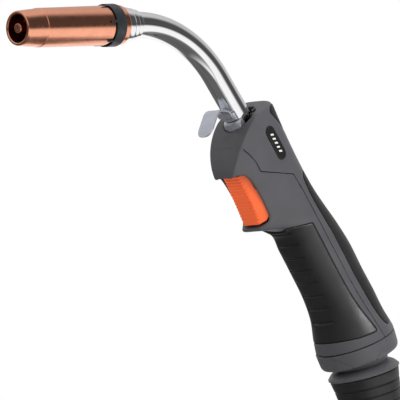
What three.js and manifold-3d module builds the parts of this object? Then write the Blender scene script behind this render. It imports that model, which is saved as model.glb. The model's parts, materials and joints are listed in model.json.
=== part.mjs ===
// MIG welding torch: gas nozzle, swan neck, two-shell pistol handle with trigger,
// and a ball-jointed cable support. Millimetres, +Z up.
// The origin is the middle of the hand grip. The nozzle points to -X and the handle
// slants down towards +X. The whole torch is symmetric about the plane Y = 0.
import * as THREE from "three";
import { mergeVertices } from "three/addons/utils/BufferGeometryUtils.js";
import Module from "manifold-3d";

const wasm = await Module();
wasm.setup();

// ---------- driving dimensions ----------
const GAP = 0.3; // clearance between neighbouring pieces
const HANDLE_PITCH = 54; // degrees below horizontal, handle axis
const NECK_PITCH = 51; // degrees below horizontal, straight end of the neck
const NOZZLE_PITCH = 5; // degrees, the nozzle mouth is its lower end
const REAR_PITCH = 64; // degrees below horizontal, axis of the rear collar
const BOOT_PITCH = 70; // degrees below horizontal, axis of the cable boot at rest
const GRIP_CENTRE = [122, 4.5]; // handle x and z of the origin
const MOUTH_Z = -0.7; // handle z of the point where the neck axis enters the handle

const TUBE_R = 8; // swan neck, outside
const TUBE_BORE_R = 6.4;
const BEND_R = 79; // centre line of the bend
const NECK_STRAIGHT = 60; // handle mouth to the point where the two straight axes cross
const NOZZLE_REACH = 139; // crossing point to the nozzle mouth
const TUBE_FRONT = 84; // behind the nozzle mouth, along the nozzle axis
const TUBE_BACK = 50; // inside the handle, along the neck axis

const NOZZLE_LENGTH = 83.8;
const NOZZLE_MOUTH_R = 10.9;
const NOZZLE_STEP = 15.6; // length of the tapered front section
const NOZZLE_R = 12.5;
const NOZZLE_BORE_R = 10.5;
const MOUTH_BORE_R = 8.9;
const BAND_FROM = 71.2;
const BAND_WIDTH = 8.2;
const BAND_R = 13.4;
const NOZZLE_SLOTS = 6;

const HANDLE_FRONT = 12; // face of the handle nose
const HANDLE_BACK = 180.5; // groove in front of the rear collar
const REAR_Z = -0.4; // height of the collar centre above the handle axis
const WALL = 2.4; // shell wall
const GRIP_SKIN = 1.8; // thickness of the rubber grips
const MOUTH_R = 11.6; // opening that the neck goes into
const BALL_BACK = 8.2; // ball centre behind the groove
const BALL_R = 18.2;
const COLLAR_LENGTH = 11.9;
const BOOT_FROM = 13.2; // behind the ball centre
const BOOT_LENGTH = 72;
const BOOT_R = 22.4; // at the flange
const FLANGE_R = 23.1;
const CABLE_BORE_R = 10;

const PIVOT = [45.5, -20.5]; // trigger pin, handle x and z
const DEG = Math.PI / 180;

// Cross-sections of the handle along its axis. centre, half (half width across Y),
// front and back (depth from the centre), frontPower and backPower (squareness).
const SECTIONS = [
  { x: 8, centre: 2, half: 17.4, front: 40, back: 19.6, frontPower: 2.05, backPower: 3.4 },
  { x: 33, centre: 2, half: 17.8, front: 40, back: 16.7, frontPower: 2.05, backPower: 3.4 },
  { x: 50, centre: 2.4, half: 17.9, front: 39.6, back: 15.5, frontPower: 2.05, backPower: 3.2 },
  { x: 64, centre: 2.8, half: 18, front: 39, back: 15.2, frontPower: 2.05, backPower: 3 },
  { x: 78, centre: 3.4, half: 18.1, front: 39, back: 15.7, frontPower: 2.1, backPower: 2.8 },
  { x: 91, centre: 4, half: 18.2, front: 19.4, back: 17.6, frontPower: 2.4, backPower: 2.6 },
  { x: 105, centre: 4.5, half: 18.3, front: 19.3, back: 19.9, frontPower: 2.4, backPower: 2.5 },
  { x: 122, centre: 4.5, half: 18.4, front: 19.3, back: 21.8, frontPower: 2.4, backPower: 2.5 },
  { x: 140, centre: 4.4, half: 19, front: 19.4, back: 21.5, frontPower: 2.4, backPower: 2.4 },
  { x: 156, centre: 3.6, half: 20.8, front: 21.2, back: 22, frontPower: 2.3, backPower: 2.3 },
  { x: 169, centre: 1.4, half: 23.8, front: 24.6, back: 23.4, frontPower: 2.1, backPower: 2.1 },
  { x: 181, centre: -0.4, half: 26.1, front: 26.2, back: 26.1, frontPower: 2, backPower: 2 },
  { x: 192, centre: -0.4, half: 26.1, front: 26.2, back: 26.1, frontPower: 2, backPower: 2 },
];

// ---------- solids ----------
function toSolid(geometry) {
  const bare = geometry.clone();
  bare.deleteAttribute("normal");
  bare.deleteAttribute("uv");
  const merged = mergeVertices(bare, 1e-4);
  const triVerts = new Uint32Array(merged.index.array);
  const vertProperties = new Float32Array(merged.attributes.position.array);
  return new wasm.Manifold(new wasm.Mesh({ numProp: 3, vertProperties, triVerts }));
}

function toGeometry(solid) {
  const mesh = solid.getMesh();
  const geometry = new THREE.BufferGeometry();
  geometry.setAttribute("position", new THREE.BufferAttribute(mesh.vertProperties, 3));
  geometry.setIndex(new THREE.BufferAttribute(mesh.triVerts, 1));
  geometry.computeVertexNormals();
  return geometry;
}

const cut = (first, ...rest) => rest.reduce((left, other) => left.subtract(other), first);
const join = (first, ...rest) => rest.reduce((left, other) => left.add(other), first);

// Solid of revolution about the local X axis; points are the [x, radius] pairs of a
// closed outline, whose first point is repeated at its end.
function turned(points, segments = 24) {
  const profile = points.map(([x, r]) => new THREE.Vector2(r, x));
  if (THREE.ShapeUtils.area(profile) < 0) profile.reverse();
  return toSolid(new THREE.LatheGeometry(profile, segments).rotateZ(-Math.PI / 2));
}

// A tube or a rod about the local X axis, from x0 to x1.
function round(x0, x1, outer, bore = 0, segments = 24) {
  return turned([[x0, bore], [x1, bore], [x1, outer], [x0, outer], [x0, bore]], segments);
}

function block(x0, x1, y0, y1, z0, z1) {
  const box = new THREE.BoxGeometry(x1 - x0, y1 - y0, z1 - z0);
  return toSolid(box.translate((x0 + x1) / 2, (y0 + y1) / 2, (z0 + z1) / 2));
}

// An outline in X and Z, made solid across Y from y0 to y1.
function prism(shape, y0, y1, curveSegments = 6) {
  const options = { depth: y1 - y0, bevelEnabled: false, curveSegments };
  const plate = new THREE.ExtrudeGeometry(shape, options).rotateX(Math.PI / 2);
  return toSolid(plate.translate(0, y1, 0));
}

function polygon(points) {
  return new THREE.Shape(points.map(([x, z]) => new THREE.Vector2(x, z)));
}

// An outline in Y and Z, made solid along X from x0 to x1.
function bar(shape, x0, x1, curveSegments = 6) {
  const options = { depth: x1 - x0, bevelEnabled: false, curveSegments };
  const lying = new THREE.Matrix4().makeBasis(
    new THREE.Vector3(0, 1, 0), new THREE.Vector3(0, 0, 1), new THREE.Vector3(1, 0, 0));
  return toSolid(new THREE.ExtrudeGeometry(shape, options).applyMatrix4(lying).translate(x0, 0, 0));
}

function cylinderY(radius, y0, y1, x, z, segments = 20) {
  const rod = new THREE.CylinderGeometry(radius, radius, y1 - y0, segments);
  return toSolid(rod.translate(x, (y0 + y1) / 2, z));
}

function cylinderZ(radius, z0, z1, x, y, segments = 20) {
  const rod = new THREE.CylinderGeometry(radius, radius, z1 - z0, segments).rotateX(Math.PI / 2);
  return toSolid(rod.translate(x, y, (z0 + z1) / 2));
}

// Skin over rings of points that follow each other along +X.
function loft(rings) {
  const count = rings[0].length;
  const positions = rings.flat().flatMap((p) => [p.x, p.y, p.z]);
  const faces = [];
  const at = (i, j) => i * count + (j % count);
  for (let i = 0; i + 1 < rings.length; i++) {
    for (let j = 0; j < count; j++) {
      faces.push(at(i, j), at(i, j + 1), at(i + 1, j + 1));
      faces.push(at(i, j), at(i + 1, j + 1), at(i + 1, j));
    }
  }
  const last = rings.length - 1;
  for (let j = 1; j + 1 < count; j++) {
    faces.push(at(0, 0), at(0, j + 1), at(0, j));
    faces.push(at(last, 0), at(last, j), at(last, j + 1));
  }
  const geometry = new THREE.BufferGeometry();
  geometry.setAttribute("position", new THREE.Float32BufferAttribute(positions, 3));
  geometry.setIndex(faces);
  return toSolid(geometry);
}

// ---------- handle form ----------
const slope = (key, i) => {
  const before = SECTIONS[Math.max(i - 1, 0)];
  const after = SECTIONS[Math.min(i + 1, SECTIONS.length - 1)];
  return (after[key] - before[key]) / (after.x - before.x);
};

// One dimension of the section at x, on a smooth curve through the list above.
function along(key, x) {
  const last = SECTIONS.length - 2;
  const found = SECTIONS.findIndex((s, i) => i <= last && x <= SECTIONS[i + 1].x);
  const i = found < 0 ? last : found;
  const a = SECTIONS[i];
  const b = SECTIONS[i + 1];
  const span = b.x - a.x;
  const t = Math.min(Math.max((x - a.x) / span, 0), 1);
  const rise = t * t * (3 - 2 * t);
  const leave = t * (1 - t) * (1 - t) * span * slope(key, i);
  const arrive = t * t * (1 - t) * span * slope(key, i + 1);
  return a[key] + (b[key] - a[key]) * rise + leave - arrive;
}

const power = (value, exponent) => Math.sign(value) * Math.abs(value) ** exponent;

function ring(x, inset, count) {
  const points = [];
  for (let j = 0; j < count; j++) {
    const angle = (2 * Math.PI * (j + 0.5)) / count;
    const side = Math.sin(angle) < 0 ? "front" : "back";
    const exponent = 2 / along(side + "Power", x);
    const y = (along("half", x) - inset) * power(Math.cos(angle), exponent);
    const depth = (along(side, x) - inset) * power(Math.sin(angle), exponent);
    points.push(new THREE.Vector3(x, y, along("centre", x) + depth));
  }
  return points;
}

// The handle's body of sections, from x0 to x1, all over smaller by inset.
function body(x0, x1, inset, steps, count) {
  const rings = [];
  for (let i = 0; i <= steps; i++) rings.push(ring(x0 + ((x1 - x0) * i) / steps, inset, count));
  return loft(rings);
}

// The nose face seen from the side is a quarter of a rounded square that would run out
// at NOSE_END. It stops at the lip above the trigger.
const NOSE_END = 44;
const LIP_X = 36.6;
const NOSE_Z = 3;
const NOSE_DEPTH = 39.6;
const NOSE_POWER = 1.6;

function noseCurve(inset) {
  const points = [];
  const length = NOSE_END - HANDLE_FRONT - inset;
  const last = Math.acos(((NOSE_END - LIP_X) / length) ** (NOSE_POWER / 2));
  const steps = 9;
  for (let i = 0; i <= steps; i++) {
    const angle = (last * i) / steps;
    const x = length * Math.cos(angle) ** (2 / NOSE_POWER);
    const z = (NOSE_DEPTH - inset) * Math.sin(angle) ** (2 / NOSE_POWER);
    points.push([NOSE_END - x, NOSE_Z - z]);
  }
  return points;
}

const FAR = 60; // past the outside of the handle
const LIP = [[37, -34], [37.4, -31], [39.2, -27.8], [44.6, -25.2], [57.6, -24.2]];
const POCKET_END = [[66, -24.4], [71, -25], [73.4, -26.8], [74.4, -29.6], [74.6, -33.2]];
const GUARD = [[76.2, -33.4], [78.6, -29.8], [82, -23.2], [86, -16.8], [90, -15.3], [94, -19]];

// Everything of the handle lies inside this side view.
function sideView() {
  const back = [[FAR * 4, -FAR], [FAR * 4, FAR], [HANDLE_FRONT, FAR]];
  const outline = [...noseCurve(0), ...LIP, ...POCKET_END, ...GUARD, ...back];
  return prism(polygon(outline.reverse()), -FAR, FAR);
}

// Half space in front of the tilted plane where the rear collar starts.
function beforeCollar(offset) {
  const lean = Math.tan((REAR_PITCH - HANDLE_PITCH) * DEG);
  const edge = (z) => HANDLE_BACK + offset + (z - REAR_Z) * lean;
  const outline = [[-FAR, -FAR], [edge(-FAR), -FAR], [edge(FAR), FAR], [-FAR, FAR]];
  return prism(polygon(outline), -FAR, FAR);
}

// Parting line of the two shells, seen from the side.
const PARTING = [
  [-FAR, -21.6], [22, -21.6], [27.5, -19.4], [32.3, -17.8], [37.6, -17], [43.2, -17],
  [58.5, 3.6], [72, 4.4], [120, 4.6], [155, 3.9], [180, 2.4], [FAR * 4, 1],
];

function frontSide(offset) {
  const line = PARTING.map(([x, z]) => [x, z + offset]);
  return prism(polygon([...line, [FAR * 4, -FAR], [-FAR, -FAR]].reverse()), -FAR, FAR);
}

// Regions that the rubber grips cover, seen from the side, grown by a margin.
const FRONT_GRIP = [
  [84.4, -20.5], [92, -0.4], [150, -0.6], [163, 0], [174.6, 0.6], [171.6, -12], [164.5, -32],
];
const BACK_GRIP = [
  [62, 13], [66, 9.6], [80, 8.6], [110, 10], [150, 9.2], [165, 8.4], [173, 9.4], [177, 12],
];
const INSERT = [[14.6, 12.4], [16.4, 10.2], [36, 16.8], [36, FAR], [14.6, FAR]];

function grown(points, margin) {
  const middle = points.reduce((sum, [x, z]) => [sum[0] + x, sum[1] + z], [0, 0]);
  const [cx, cz] = [middle[0] / points.length, middle[1] / points.length];
  return points.map(([x, z]) => [x + Math.sign(x - cx) * margin, z + Math.sign(z - cz) * margin]);
}

function frontGripRegion(margin) {
  return prism(polygon(grown(FRONT_GRIP, margin).reverse()), -FAR, FAR);
}

function backGripRegion(margin) {
  const line = BACK_GRIP.map(([x, z]) => [x, z - margin]);
  line[0][0] -= margin;
  line[line.length - 1][0] += margin;
  return prism(polygon([...line, [177 + margin, FAR], [62 - margin, FAR]]), -FAR, FAR);
}

function insertRegion(margin) {
  const outward = (i) => (i === 2 || i === 3 ? margin : -margin);
  return prism(polygon(INSERT.map(([x, z], i) => [x + outward(i), z - margin])), -FAR, FAR);
}

const BADGE = { length: 23, width: 7, x: 34.7, z: 2.8, tilt: 0, depth: 1.2, face: 17.9 };

// Stadium on the side of the handle, across Y from y0 to y1.
function stadium(margin, y0, y1) {
  const radius = BADGE.width / 2 + margin;
  const reach = (BADGE.length - BADGE.width) / 2;
  const shape = new THREE.Shape();
  shape.absarc(reach, 0, radius, -Math.PI / 2, Math.PI / 2);
  shape.absarc(-reach, 0, radius, Math.PI / 2, (3 * Math.PI) / 2);
  const plate = prism(shape, y0, y1, 8);
  return plate.rotate([0, -BADGE.tilt, 0]).translate([BADGE.x, 0, BADGE.z]);
}

// ---------- scene graph ----------
const torch = new THREE.Group();

function frameAt(parent, x, z, pitch) {
  const group = new THREE.Group();
  group.position.set(x, 0, z);
  group.rotation.y = pitch * DEG;
  parent.add(group);
  return group;
}

function step(pitch, length) {
  return [length * Math.cos(pitch * DEG), -length * Math.sin(pitch * DEG)];
}

// Place of a point of the handle (its x and z) in the frame of the torch.
function fromGrip(x, z) {
  const [alongGrip, aboveGrip] = [x - GRIP_CENTRE[0], z - GRIP_CENTRE[1]];
  const [cos, sin] = [Math.cos(HANDLE_PITCH * DEG), Math.sin(HANDLE_PITCH * DEG)];
  return [alongGrip * cos + aboveGrip * sin, aboveGrip * cos - alongGrip * sin];
}

const handle = frameAt(torch, ...fromGrip(0, 0), HANDLE_PITCH);
const fromMouth = frameAt(torch, ...fromGrip(0, MOUTH_Z), 0);
const neckAxis = frameAt(fromMouth, 0, 0, NECK_PITCH);
const [cornerX, cornerZ] = step(NECK_PITCH, -NECK_STRAIGHT);
const [reachX, reachZ] = step(-NOZZLE_PITCH, -NOZZLE_REACH);
const nozzle = frameAt(fromMouth, cornerX + reachX, cornerZ + reachZ, -NOZZLE_PITCH);
const rear = frameAt(handle, HANDLE_BACK, REAR_Z, REAR_PITCH - HANDLE_PITCH);
const ball = frameAt(rear, BALL_BACK, 0, BOOT_PITCH - REAR_PITCH);

const MATERIALS = {
  copper: { color: 0xd08a66, roughness: 0.25, metalness: 1 },
  blackened: { color: 0x24303a, roughness: 0.5, metalness: 0.6 },
  chrome: { color: 0xdcdcdc, roughness: 0.1, metalness: 1 },
  brass: { color: 0xc9a45a, roughness: 0.35, metalness: 1 },
  steel: { color: 0xb4b9c6, roughness: 0.35, metalness: 0.9 },
  ceramic: { color: 0xb3402c, roughness: 0.5, metalness: 0 },
  insulation: { color: 0x3a2c26, roughness: 0.7, metalness: 0 },
  shell: { color: 0x5f5f64, roughness: 0.55, metalness: 0 },
  rubber: { color: 0x232422, roughness: 0.6, metalness: 0 },
  trigger: { color: 0xe85a20, roughness: 0.45, metalness: 0 },
  black: { color: 0x1c1c1c, roughness: 0.45, metalness: 0 },
};

function place(parent, name, finish, solid) {
  const material = new THREE.MeshStandardMaterial(MATERIALS[finish]);
  const mesh = new THREE.Mesh(toGeometry(solid), material);
  mesh.name = name;
  parent.add(mesh);
}

// ---------- nozzle end; local X runs back from the nozzle mouth ----------
function aroundX(count, make) {
  const all = [];
  for (let i = 0; i < count; i++) all.push(make((360 * i) / count));
  return all;
}

function gasNozzle() {
  const outside = [
    [NOZZLE_LENGTH, NOZZLE_R - 0.8], [NOZZLE_LENGTH - 0.8, NOZZLE_R],
    [NOZZLE_STEP + 0.5, NOZZLE_R - 0.3], [NOZZLE_STEP, NOZZLE_R - 0.6], [NOZZLE_STEP - 1, NOZZLE_R - 0.7],
    [0.9, NOZZLE_MOUTH_R], [0.2, NOZZLE_MOUTH_R - 0.4], [0, NOZZLE_MOUTH_R - 0.8],
    [0, MOUTH_BORE_R + 0.2], [0.3, MOUTH_BORE_R],
  ];
  const inside = [[17, MOUTH_BORE_R], [20, NOZZLE_BORE_R], [NOZZLE_LENGTH, NOZZLE_BORE_R]];
  const wall = turned([...outside, ...inside, outside[0]], 32);
  const slot = block(BAND_FROM - 6, BAND_FROM + BAND_WIDTH + 2, -0.8, 0.8, 0, NOZZLE_R + 2);
  return cut(wall, ...aroundX(NOZZLE_SLOTS, (turn) => slot.rotate([turn + 10, 0, 0])));
}

function nozzleBand() {
  const back = BAND_FROM + BAND_WIDTH;
  const inner = NOZZLE_R + GAP;
  const ringBody = turned([
    [back, inner], [back, BAND_R - 0.4], [back - 0.4, BAND_R], [BAND_FROM + 0.4, BAND_R],
    [BAND_FROM, BAND_R - 0.4], [BAND_FROM, inner], [back, inner],
  ], 32);
  const tongue = block(BAND_FROM - 4.5, BAND_FROM + 1, -0.7, 0.7, inner, BAND_R - 0.1);
  return join(ringBody, ...aroundX(NOZZLE_SLOTS, (turn) => tongue.rotate([turn + 22, 0, 0])));
}

function contactTip() {
  return turned([
    [28, 0.6], [28, 2.9], [21, 2.9], [21, 4], [8, 4], [1, 3.2], [0.3, 2.8], [0.3, 0.6], [28, 0.6],
  ], 24);
}

function tipHolder() {
  const outside = [[52, 3.9], [44.5, 3.9], [44.5, 5.2], [22, 5.2], [21.3, 4.6], [21.3, 3.2]];
  return turned([[52, 2.6], ...outside, [29, 3.2], [29, 2.6], [52, 2.6]], 24);
}

function gasDiffuser() {
  const wall = turned([
    [49.5, 5.5], [49.5, 7.9], [32, 7.9], [30, 7], [30, 5.5], [49.5, 5.5],
  ], 28);
  const hole = cylinderZ(1.1, 4, 10, 36, 0, 8);
  return cut(wall, ...aroundX(6, (turn) => hole.rotate([turn, 0, 0])));
}

function neckHead() {
  return turned([
    [TUBE_FRONT + 9, 3], [TUBE_FRONT + 9, TUBE_BORE_R - GAP], [TUBE_FRONT - GAP, TUBE_BORE_R - GAP],
    [TUBE_FRONT - GAP, 8], [50, 8], [50, 4.2], [56, 4.2], [56, 3], [TUBE_FRONT + 9, 3],
  ], 28);
}

function nozzleInsulator() {
  return round(51, NOZZLE_LENGTH, NOZZLE_BORE_R - GAP, 8.3, 32);
}

// Three rounded rings that step down from the nozzle to the neck.
function neckCollar() {
  const front = NOZZLE_LENGTH + GAP;
  const rings = [[97, 9.1, 3.6], [93.4, 10.1, 4], [89.4, 10.9, 89.4 - front]];
  const outside = rings.flatMap(([x, r, width]) => [
    [x, r - 0.5], [x - 0.4, r - 0.2], [x - 0.9, r], [x - width + 0.7, r], [x - width + 0.2, r - 0.4],
  ]);
  return turned([[97, 8.3], ...outside, [front, 10.3], [front, 8.3], [97, 8.3]]);
}

// ---------- swan neck; points of its centre line relative to the handle mouth ----------
function neckPath(front, back) {
  const bend = ((NECK_PITCH + NOZZLE_PITCH) / 2) * DEG;
  const tangent = BEND_R * Math.tan(bend);
  const corner = new THREE.Vector3(cornerX, 0, cornerZ);
  const ahead = ([x, z]) => new THREE.Vector3(x, 0, z).add(corner);
  const start = ahead(step(-NOZZLE_PITCH, front - NOZZLE_REACH));
  const bendStart = ahead(step(-NOZZLE_PITCH, -tangent));
  const bendEnd = ahead(step(NECK_PITCH, tangent));
  const [centreX, centreZ] = step(-NOZZLE_PITCH + 90, BEND_R);
  const centre = new THREE.Vector3(centreX, 0, centreZ).add(bendStart);
  const end = ahead(step(NECK_PITCH, NECK_STRAIGHT + back));
  return { start, bendStart, bendEnd, centre, end };
}

// Runs along the first straight, the bend and the second straight at an even pace.
class NeckCurve extends THREE.Curve {
  constructor(front, back) {
    super();
    this.path = neckPath(front, back);
    this.first = this.path.start.distanceTo(this.path.bendStart);
    this.turn = (NECK_PITCH + NOZZLE_PITCH) * DEG;
    this.last = this.path.bendEnd.distanceTo(this.path.end);
  }

  getPoint(t, target = new THREE.Vector3()) {
    const { start, bendStart, bendEnd, centre, end } = this.path;
    const bendLength = BEND_R * this.turn;
    const way = t * (this.first + bendLength + this.last);
    if (way <= this.first) return target.lerpVectors(start, bendStart, way / this.first);
    if (way >= this.first + bendLength)
      return target.lerpVectors(bendEnd, end, (way - this.first - bendLength) / this.last);
    const angle = (way - this.first) / BEND_R;
    const spoke = bendStart.clone().sub(centre);
    return target.copy(spoke.applyAxisAngle(new THREE.Vector3(0, 1, 0), angle)).add(centre);
  }
}

function pipe(curve, outer, bore, sides, steps) {
  const section = new THREE.Shape();
  section.absarc(0, 0, outer, 0, 2 * Math.PI);
  const hole = new THREE.Path();
  hole.absarc(0, 0, bore, 0, 2 * Math.PI, true);
  section.holes.push(hole);
  const options = { steps, extrudePath: curve, bevelEnabled: false, curveSegments: sides };
  return toSolid(new THREE.ExtrudeGeometry(section, options));
}

// ---------- pieces on the neck axis; local X runs back from the handle mouth ----------
const SLEEVE_FROM = 10.2;
const SLEEVE_R = 11.2;
const SLEEVE_HALF = 7.6;

function neckSleeve() {
  const inner = TUBE_R + GAP;
  const wall = turned([
    [27, inner], [27, SLEEVE_R], [14.5, SLEEVE_R], [12.1, SLEEVE_R - 0.7], [10.7, SLEEVE_R - 1.9],
    [SLEEVE_FROM, inner], [27, inner],
  ], 32);
  return wall.intersect(block(0, 30, -SLEEVE_HALF, SLEEVE_HALF, -FAR, 0));
}

// A bent strip: a half clamp under the neck, an arch that leaves the neck and comes over
// to a short level stretch, and a tab that hangs down in front of the handle nose. The
// torch hangs by the underside of the level stretch.
const HOOK = { thickness: 1.3, width: 13, clampFrom: 4.5, bend: 5.6, level: 2.4, lean: 23.5, tab: 15 };

// Both faces of the strip seen from the side, from the clamp to the end of the tab.
function hookOutline() {
  const half = HOOK.thickness / 2;
  const plus = ([x, z], [dx, dz]) => [x + dx, z + dz];
  const start = plus(step(NECK_PITCH, HOOK.clampFrom + 2), step(NECK_PITCH + 90, TUBE_R + GAP + half));
  let heading = 180 + NECK_PITCH;
  let at = start;
  const faces = [[plus(at, step(heading + 90, half))], [plus(at, step(heading - 90, half))]];
  const go = (length, bend = 0) => {
    heading -= bend / 2;
    at = plus(at, step(heading, length));
    heading -= bend / 2;
    faces[0].push(plus(at, step(heading + 90, half)));
    faces[1].push(plus(at, step(heading - 90, half)));
  };
  const turn = (angle, steps = 6) => {
    const bend = angle / steps;
    for (let i = 0; i < steps; i++) go(2 * HOOK.bend * Math.sin((bend * DEG) / 2), bend);
  };
  go(2);
  turn(NECK_PITCH);
  go(HOOK.level);
  turn(90 - HOOK.lean);
  go(HOOK.tab);
  return [...faces[0], ...faces[1].reverse()];
}

function hangingHook() {
  const half = HOOK.width / 2;
  const outline = hookOutline();
  const lowest = Math.min(...outline.map(([, z]) => z));
  const corner = half - 1;
  const front = new THREE.Shape();
  front.moveTo(half, FAR);
  front.lineTo(-half, FAR);
  front.absarc(-half + corner, lowest + corner, corner, Math.PI, 1.5 * Math.PI);
  front.absarc(half - corner, lowest + corner, corner, 1.5 * Math.PI, 2 * Math.PI);
  const strip = prism(polygon(outline), -half, half).intersect(bar(front, -FAR, FAR));
  const clamp = round(HOOK.clampFrom, SLEEVE_FROM - 0.5, 9.6, TUBE_R + GAP, 28);
  const under = clamp.intersect(block(0, 30, -half, half, -FAR, 0)).rotate([0, NECK_PITCH, 0]);
  const neckRoom = round(-20, 20, TUBE_R + GAP, 0, 28).rotate([0, NECK_PITCH, 0]);
  return cut(join(strip, under), neckRoom);
}

const BLOCK_FROM = 42;
const BLOCK_TO = 70;

function neckBlock() {
  const outer = round(BLOCK_FROM, BLOCK_TO, 11, 0, 28);
  const flat = block(BLOCK_FROM + 6, BLOCK_TO, -9, 9, -9, FAR);
  const socket = round(BLOCK_FROM - 1, TUBE_BACK + GAP, TUBE_R + GAP, 0, 32);
  const ports = [[0, 0, 2.8], [0, -6.4, 3.3], [5.4, 3.2, 2.4], [-5.4, 3.2, 2.4]];
  const portBore = ([y, z, r]) => round(TUBE_BACK - 1, BLOCK_TO + 1, r, 0, 16).translate([0, y, z]);
  const collar = round(BLOCK_FROM, BLOCK_FROM + 6.1, 11);
  return cut(outer.intersect(join(flat, collar)), socket, ...ports.map(portBore));
}

function barb(y, z, radius) {
  const tip = BLOCK_TO + 15;
  const tooth = (back) => [[tip - back + 3.6, radius - 0.1], [tip - back, radius + 0.7]];
  const profile = [
    [tip, radius - 0.9], ...[4, 8, 12].flatMap(tooth), [BLOCK_TO + GAP, radius + 0.7],
    [BLOCK_TO + GAP, radius - 0.1], [BLOCK_TO - 6, radius - 0.1], [BLOCK_TO - 6, radius - 0.9],
    [tip, radius - 0.9],
  ];
  return turned(profile, 16).translate([0, y, z]);
}

function powerStud() {
  return join(round(BLOCK_TO - 8, BLOCK_TO + 20, 3, 0, 16), round(BLOCK_TO + GAP, BLOCK_TO + 4, 3.4, 0, 6))
    .translate([0, 0, -6.4]);
}

function linerNut() {
  return round(BLOCK_TO + GAP, BLOCK_TO + 8, 2.7, 2.4, 12);
}

// ---------- handle pieces; local X runs back along the handle ----------
// The hollow of the handle, closed at the nose and open to the trigger and the rear.
function hollow() {
  const nose = noseCurve(WALL + 0.6);
  const back = [[LIP_X + 2, -FAR], [FAR * 4, -FAR], [FAR * 4, FAR], [HANDLE_FRONT + WALL + 0.6, FAR]];
  const inView = prism(polygon([...nose, ...back].reverse()), -FAR, FAR);
  const front = body(9, 84, WALL, 8, 20).intersect(inView);
  const rearPart = body(70, 192, WALL + GRIP_SKIN + 0.2, 10, 20);
  const guard = polygon([[74.6, -22], [74.6, -FAR], [92, -FAR], [92, -9], [84, -9], [76, -17]]);
  return cut(join(front, rearPart, triggerSlot()), prism(guard, -FAR, FAR));
}

// The thinned stretch of the wall that the cheeks of the trigger slide in.
function triggerSlot() {
  return body(38.4, 74.4, TRIGGER_INSET - 0.4, 6, 28).intersect(block(0, FAR * 2, -FAR, FAR, -FAR, -16.6));
}

function mouth() {
  const opening = round(-20, 30, MOUTH_R, 0, 32);
  const rib = block(-20, 30, -0.8, 0.8, TUBE_R + 0.6, FAR);
  const ribs = [35, -35, 72, -72].map((turn) => rib.rotate([turn, 0, 0]));
  return cut(opening, ...ribs).rotate([0, NECK_PITCH - HANDLE_PITCH, 0]).translate([0, 0, MOUTH_Z]);
}

const skinAt = (inset) => body(8, 192, inset, 18, 24);
const outerSkin = skinAt(0).intersect(sideView()).intersect(beforeCollar(-GAP));
const sunkSkin = skinAt(GRIP_SKIN + GAP);

// Takes away what lies outside the sunk surface, within one region.
const sink = (region) => region.subtract(sunkSkin);

const TRIGGER_INSET = 1.6; // from the outer skin to the sides of the trigger

const shells = cut(
  outerSkin, hollow(), mouth(),
  sink(frontGripRegion(GAP / 2)),
  sink(backGripRegion(GAP / 2)),
  sink(insertRegion(GAP / 2)),
);

// Blind bosses inside the front shell that hold the ends of the trigger pin.
function pinBosses() {
  const pair = join(cylinderY(2.6, -FAR, -9.5, ...PIVOT), cylinderY(2.6, 9.5, FAR, ...PIVOT));
  return pair.intersect(body(40, 52, 1, 4, 28)).intersect(frontSide(-GAP / 2));
}

const pinHole = () => cylinderY(1.8, -12.6, 12.6, ...PIVOT, 16);

function backShell() {
  const pocket = stadium(GAP, BADGE.face - BADGE.depth - GAP, FAR);
  const farPocket = pocket.mirror([0, 1, 0]);
  const screwHole = cylinderZ(1.9, 0, FAR, 24, 0, 16);
  return cut(shells.subtract(frontSide(GAP / 2)), pocket, farPocket, screwHole);
}

function frontShell() {
  return cut(join(shells.intersect(frontSide(-GAP / 2)), pinBosses()), pinHole());
}

// Ribs for the fingers across the front of the grip.
function frontGripRibs() {
  const grooves = [];
  for (let i = 0; i < 8; i++) {
    const x = 91 + i * 9.3;
    const depth = along("centre", x) - along("front", x);
    grooves.push(block(x - 0.7, x + 0.7, -9.5, 9.5, -FAR, depth + 0.7));
  }
  return grooves;
}

const skinIn = (region) => region.intersect(skinAt(0).subtract(skinAt(GRIP_SKIN)));

function frontGrip() {
  const skin = skinIn(frontGripRegion(-GAP / 2)).intersect(sideView());
  return cut(skin, ...frontGripRibs());
}

const backGrip = () => skinIn(backGripRegion(-GAP / 2));
const noseInsert = () => skinIn(insertRegion(-GAP / 2));

function badge(side) {
  const plate = stadium(0, BADGE.face - BADGE.depth, BADGE.face);
  return side > 0 ? plate : plate.mirror([0, 1, 0]);
}

function clampScrew() {
  return cylinderZ(1.5, 13.6, 17.4, 24, 0, 16);
}

// ---------- trigger and switch ----------
const TRIGGER_FRONT = [[39.2, -28.4], [44, -28.8], [58, -29.2], [66, -30], [73.2, -31.2]];
const TRIGGER_BACK = [[73.2, -26.6], [70, -21.4], [50, -20], [49.4, -17.6], [41.6, -17.6], [39.2, -21]];
const FRONT_FALL = 4.8; // degrees that the front of the trigger leans away from the handle axis
const FRONT_HALF = 6.5; // half width of the serrated front
const CHEEK_SPREAD = 0.68; // widening of the cheeks for each mm back from the front

// The serrated front is flat across Y, and the cheeks spread out behind it.
function triggerForm() {
  const core = body(36, 80, TRIGGER_INSET, 6, 28);
  const outline = polygon([...TRIGGER_FRONT, ...TRIGGER_BACK].reverse());
  const depth = 20;
  const wide = FRONT_HALF + CHEEK_SPREAD * depth;
  const wedge = polygon([[-FRONT_HALF, 0], [FRONT_HALF, 0], [wide, depth], [-wide, depth]]);
  const [frontX, frontZ] = TRIGGER_FRONT[0];
  const cheeks = bar(wedge, -10, 50).rotate([0, FRONT_FALL, 0]).translate([frontX, 0, frontZ - 0.6]);
  return core.intersect(prism(outline, -FAR, FAR)).intersect(cheeks);
}

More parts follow.
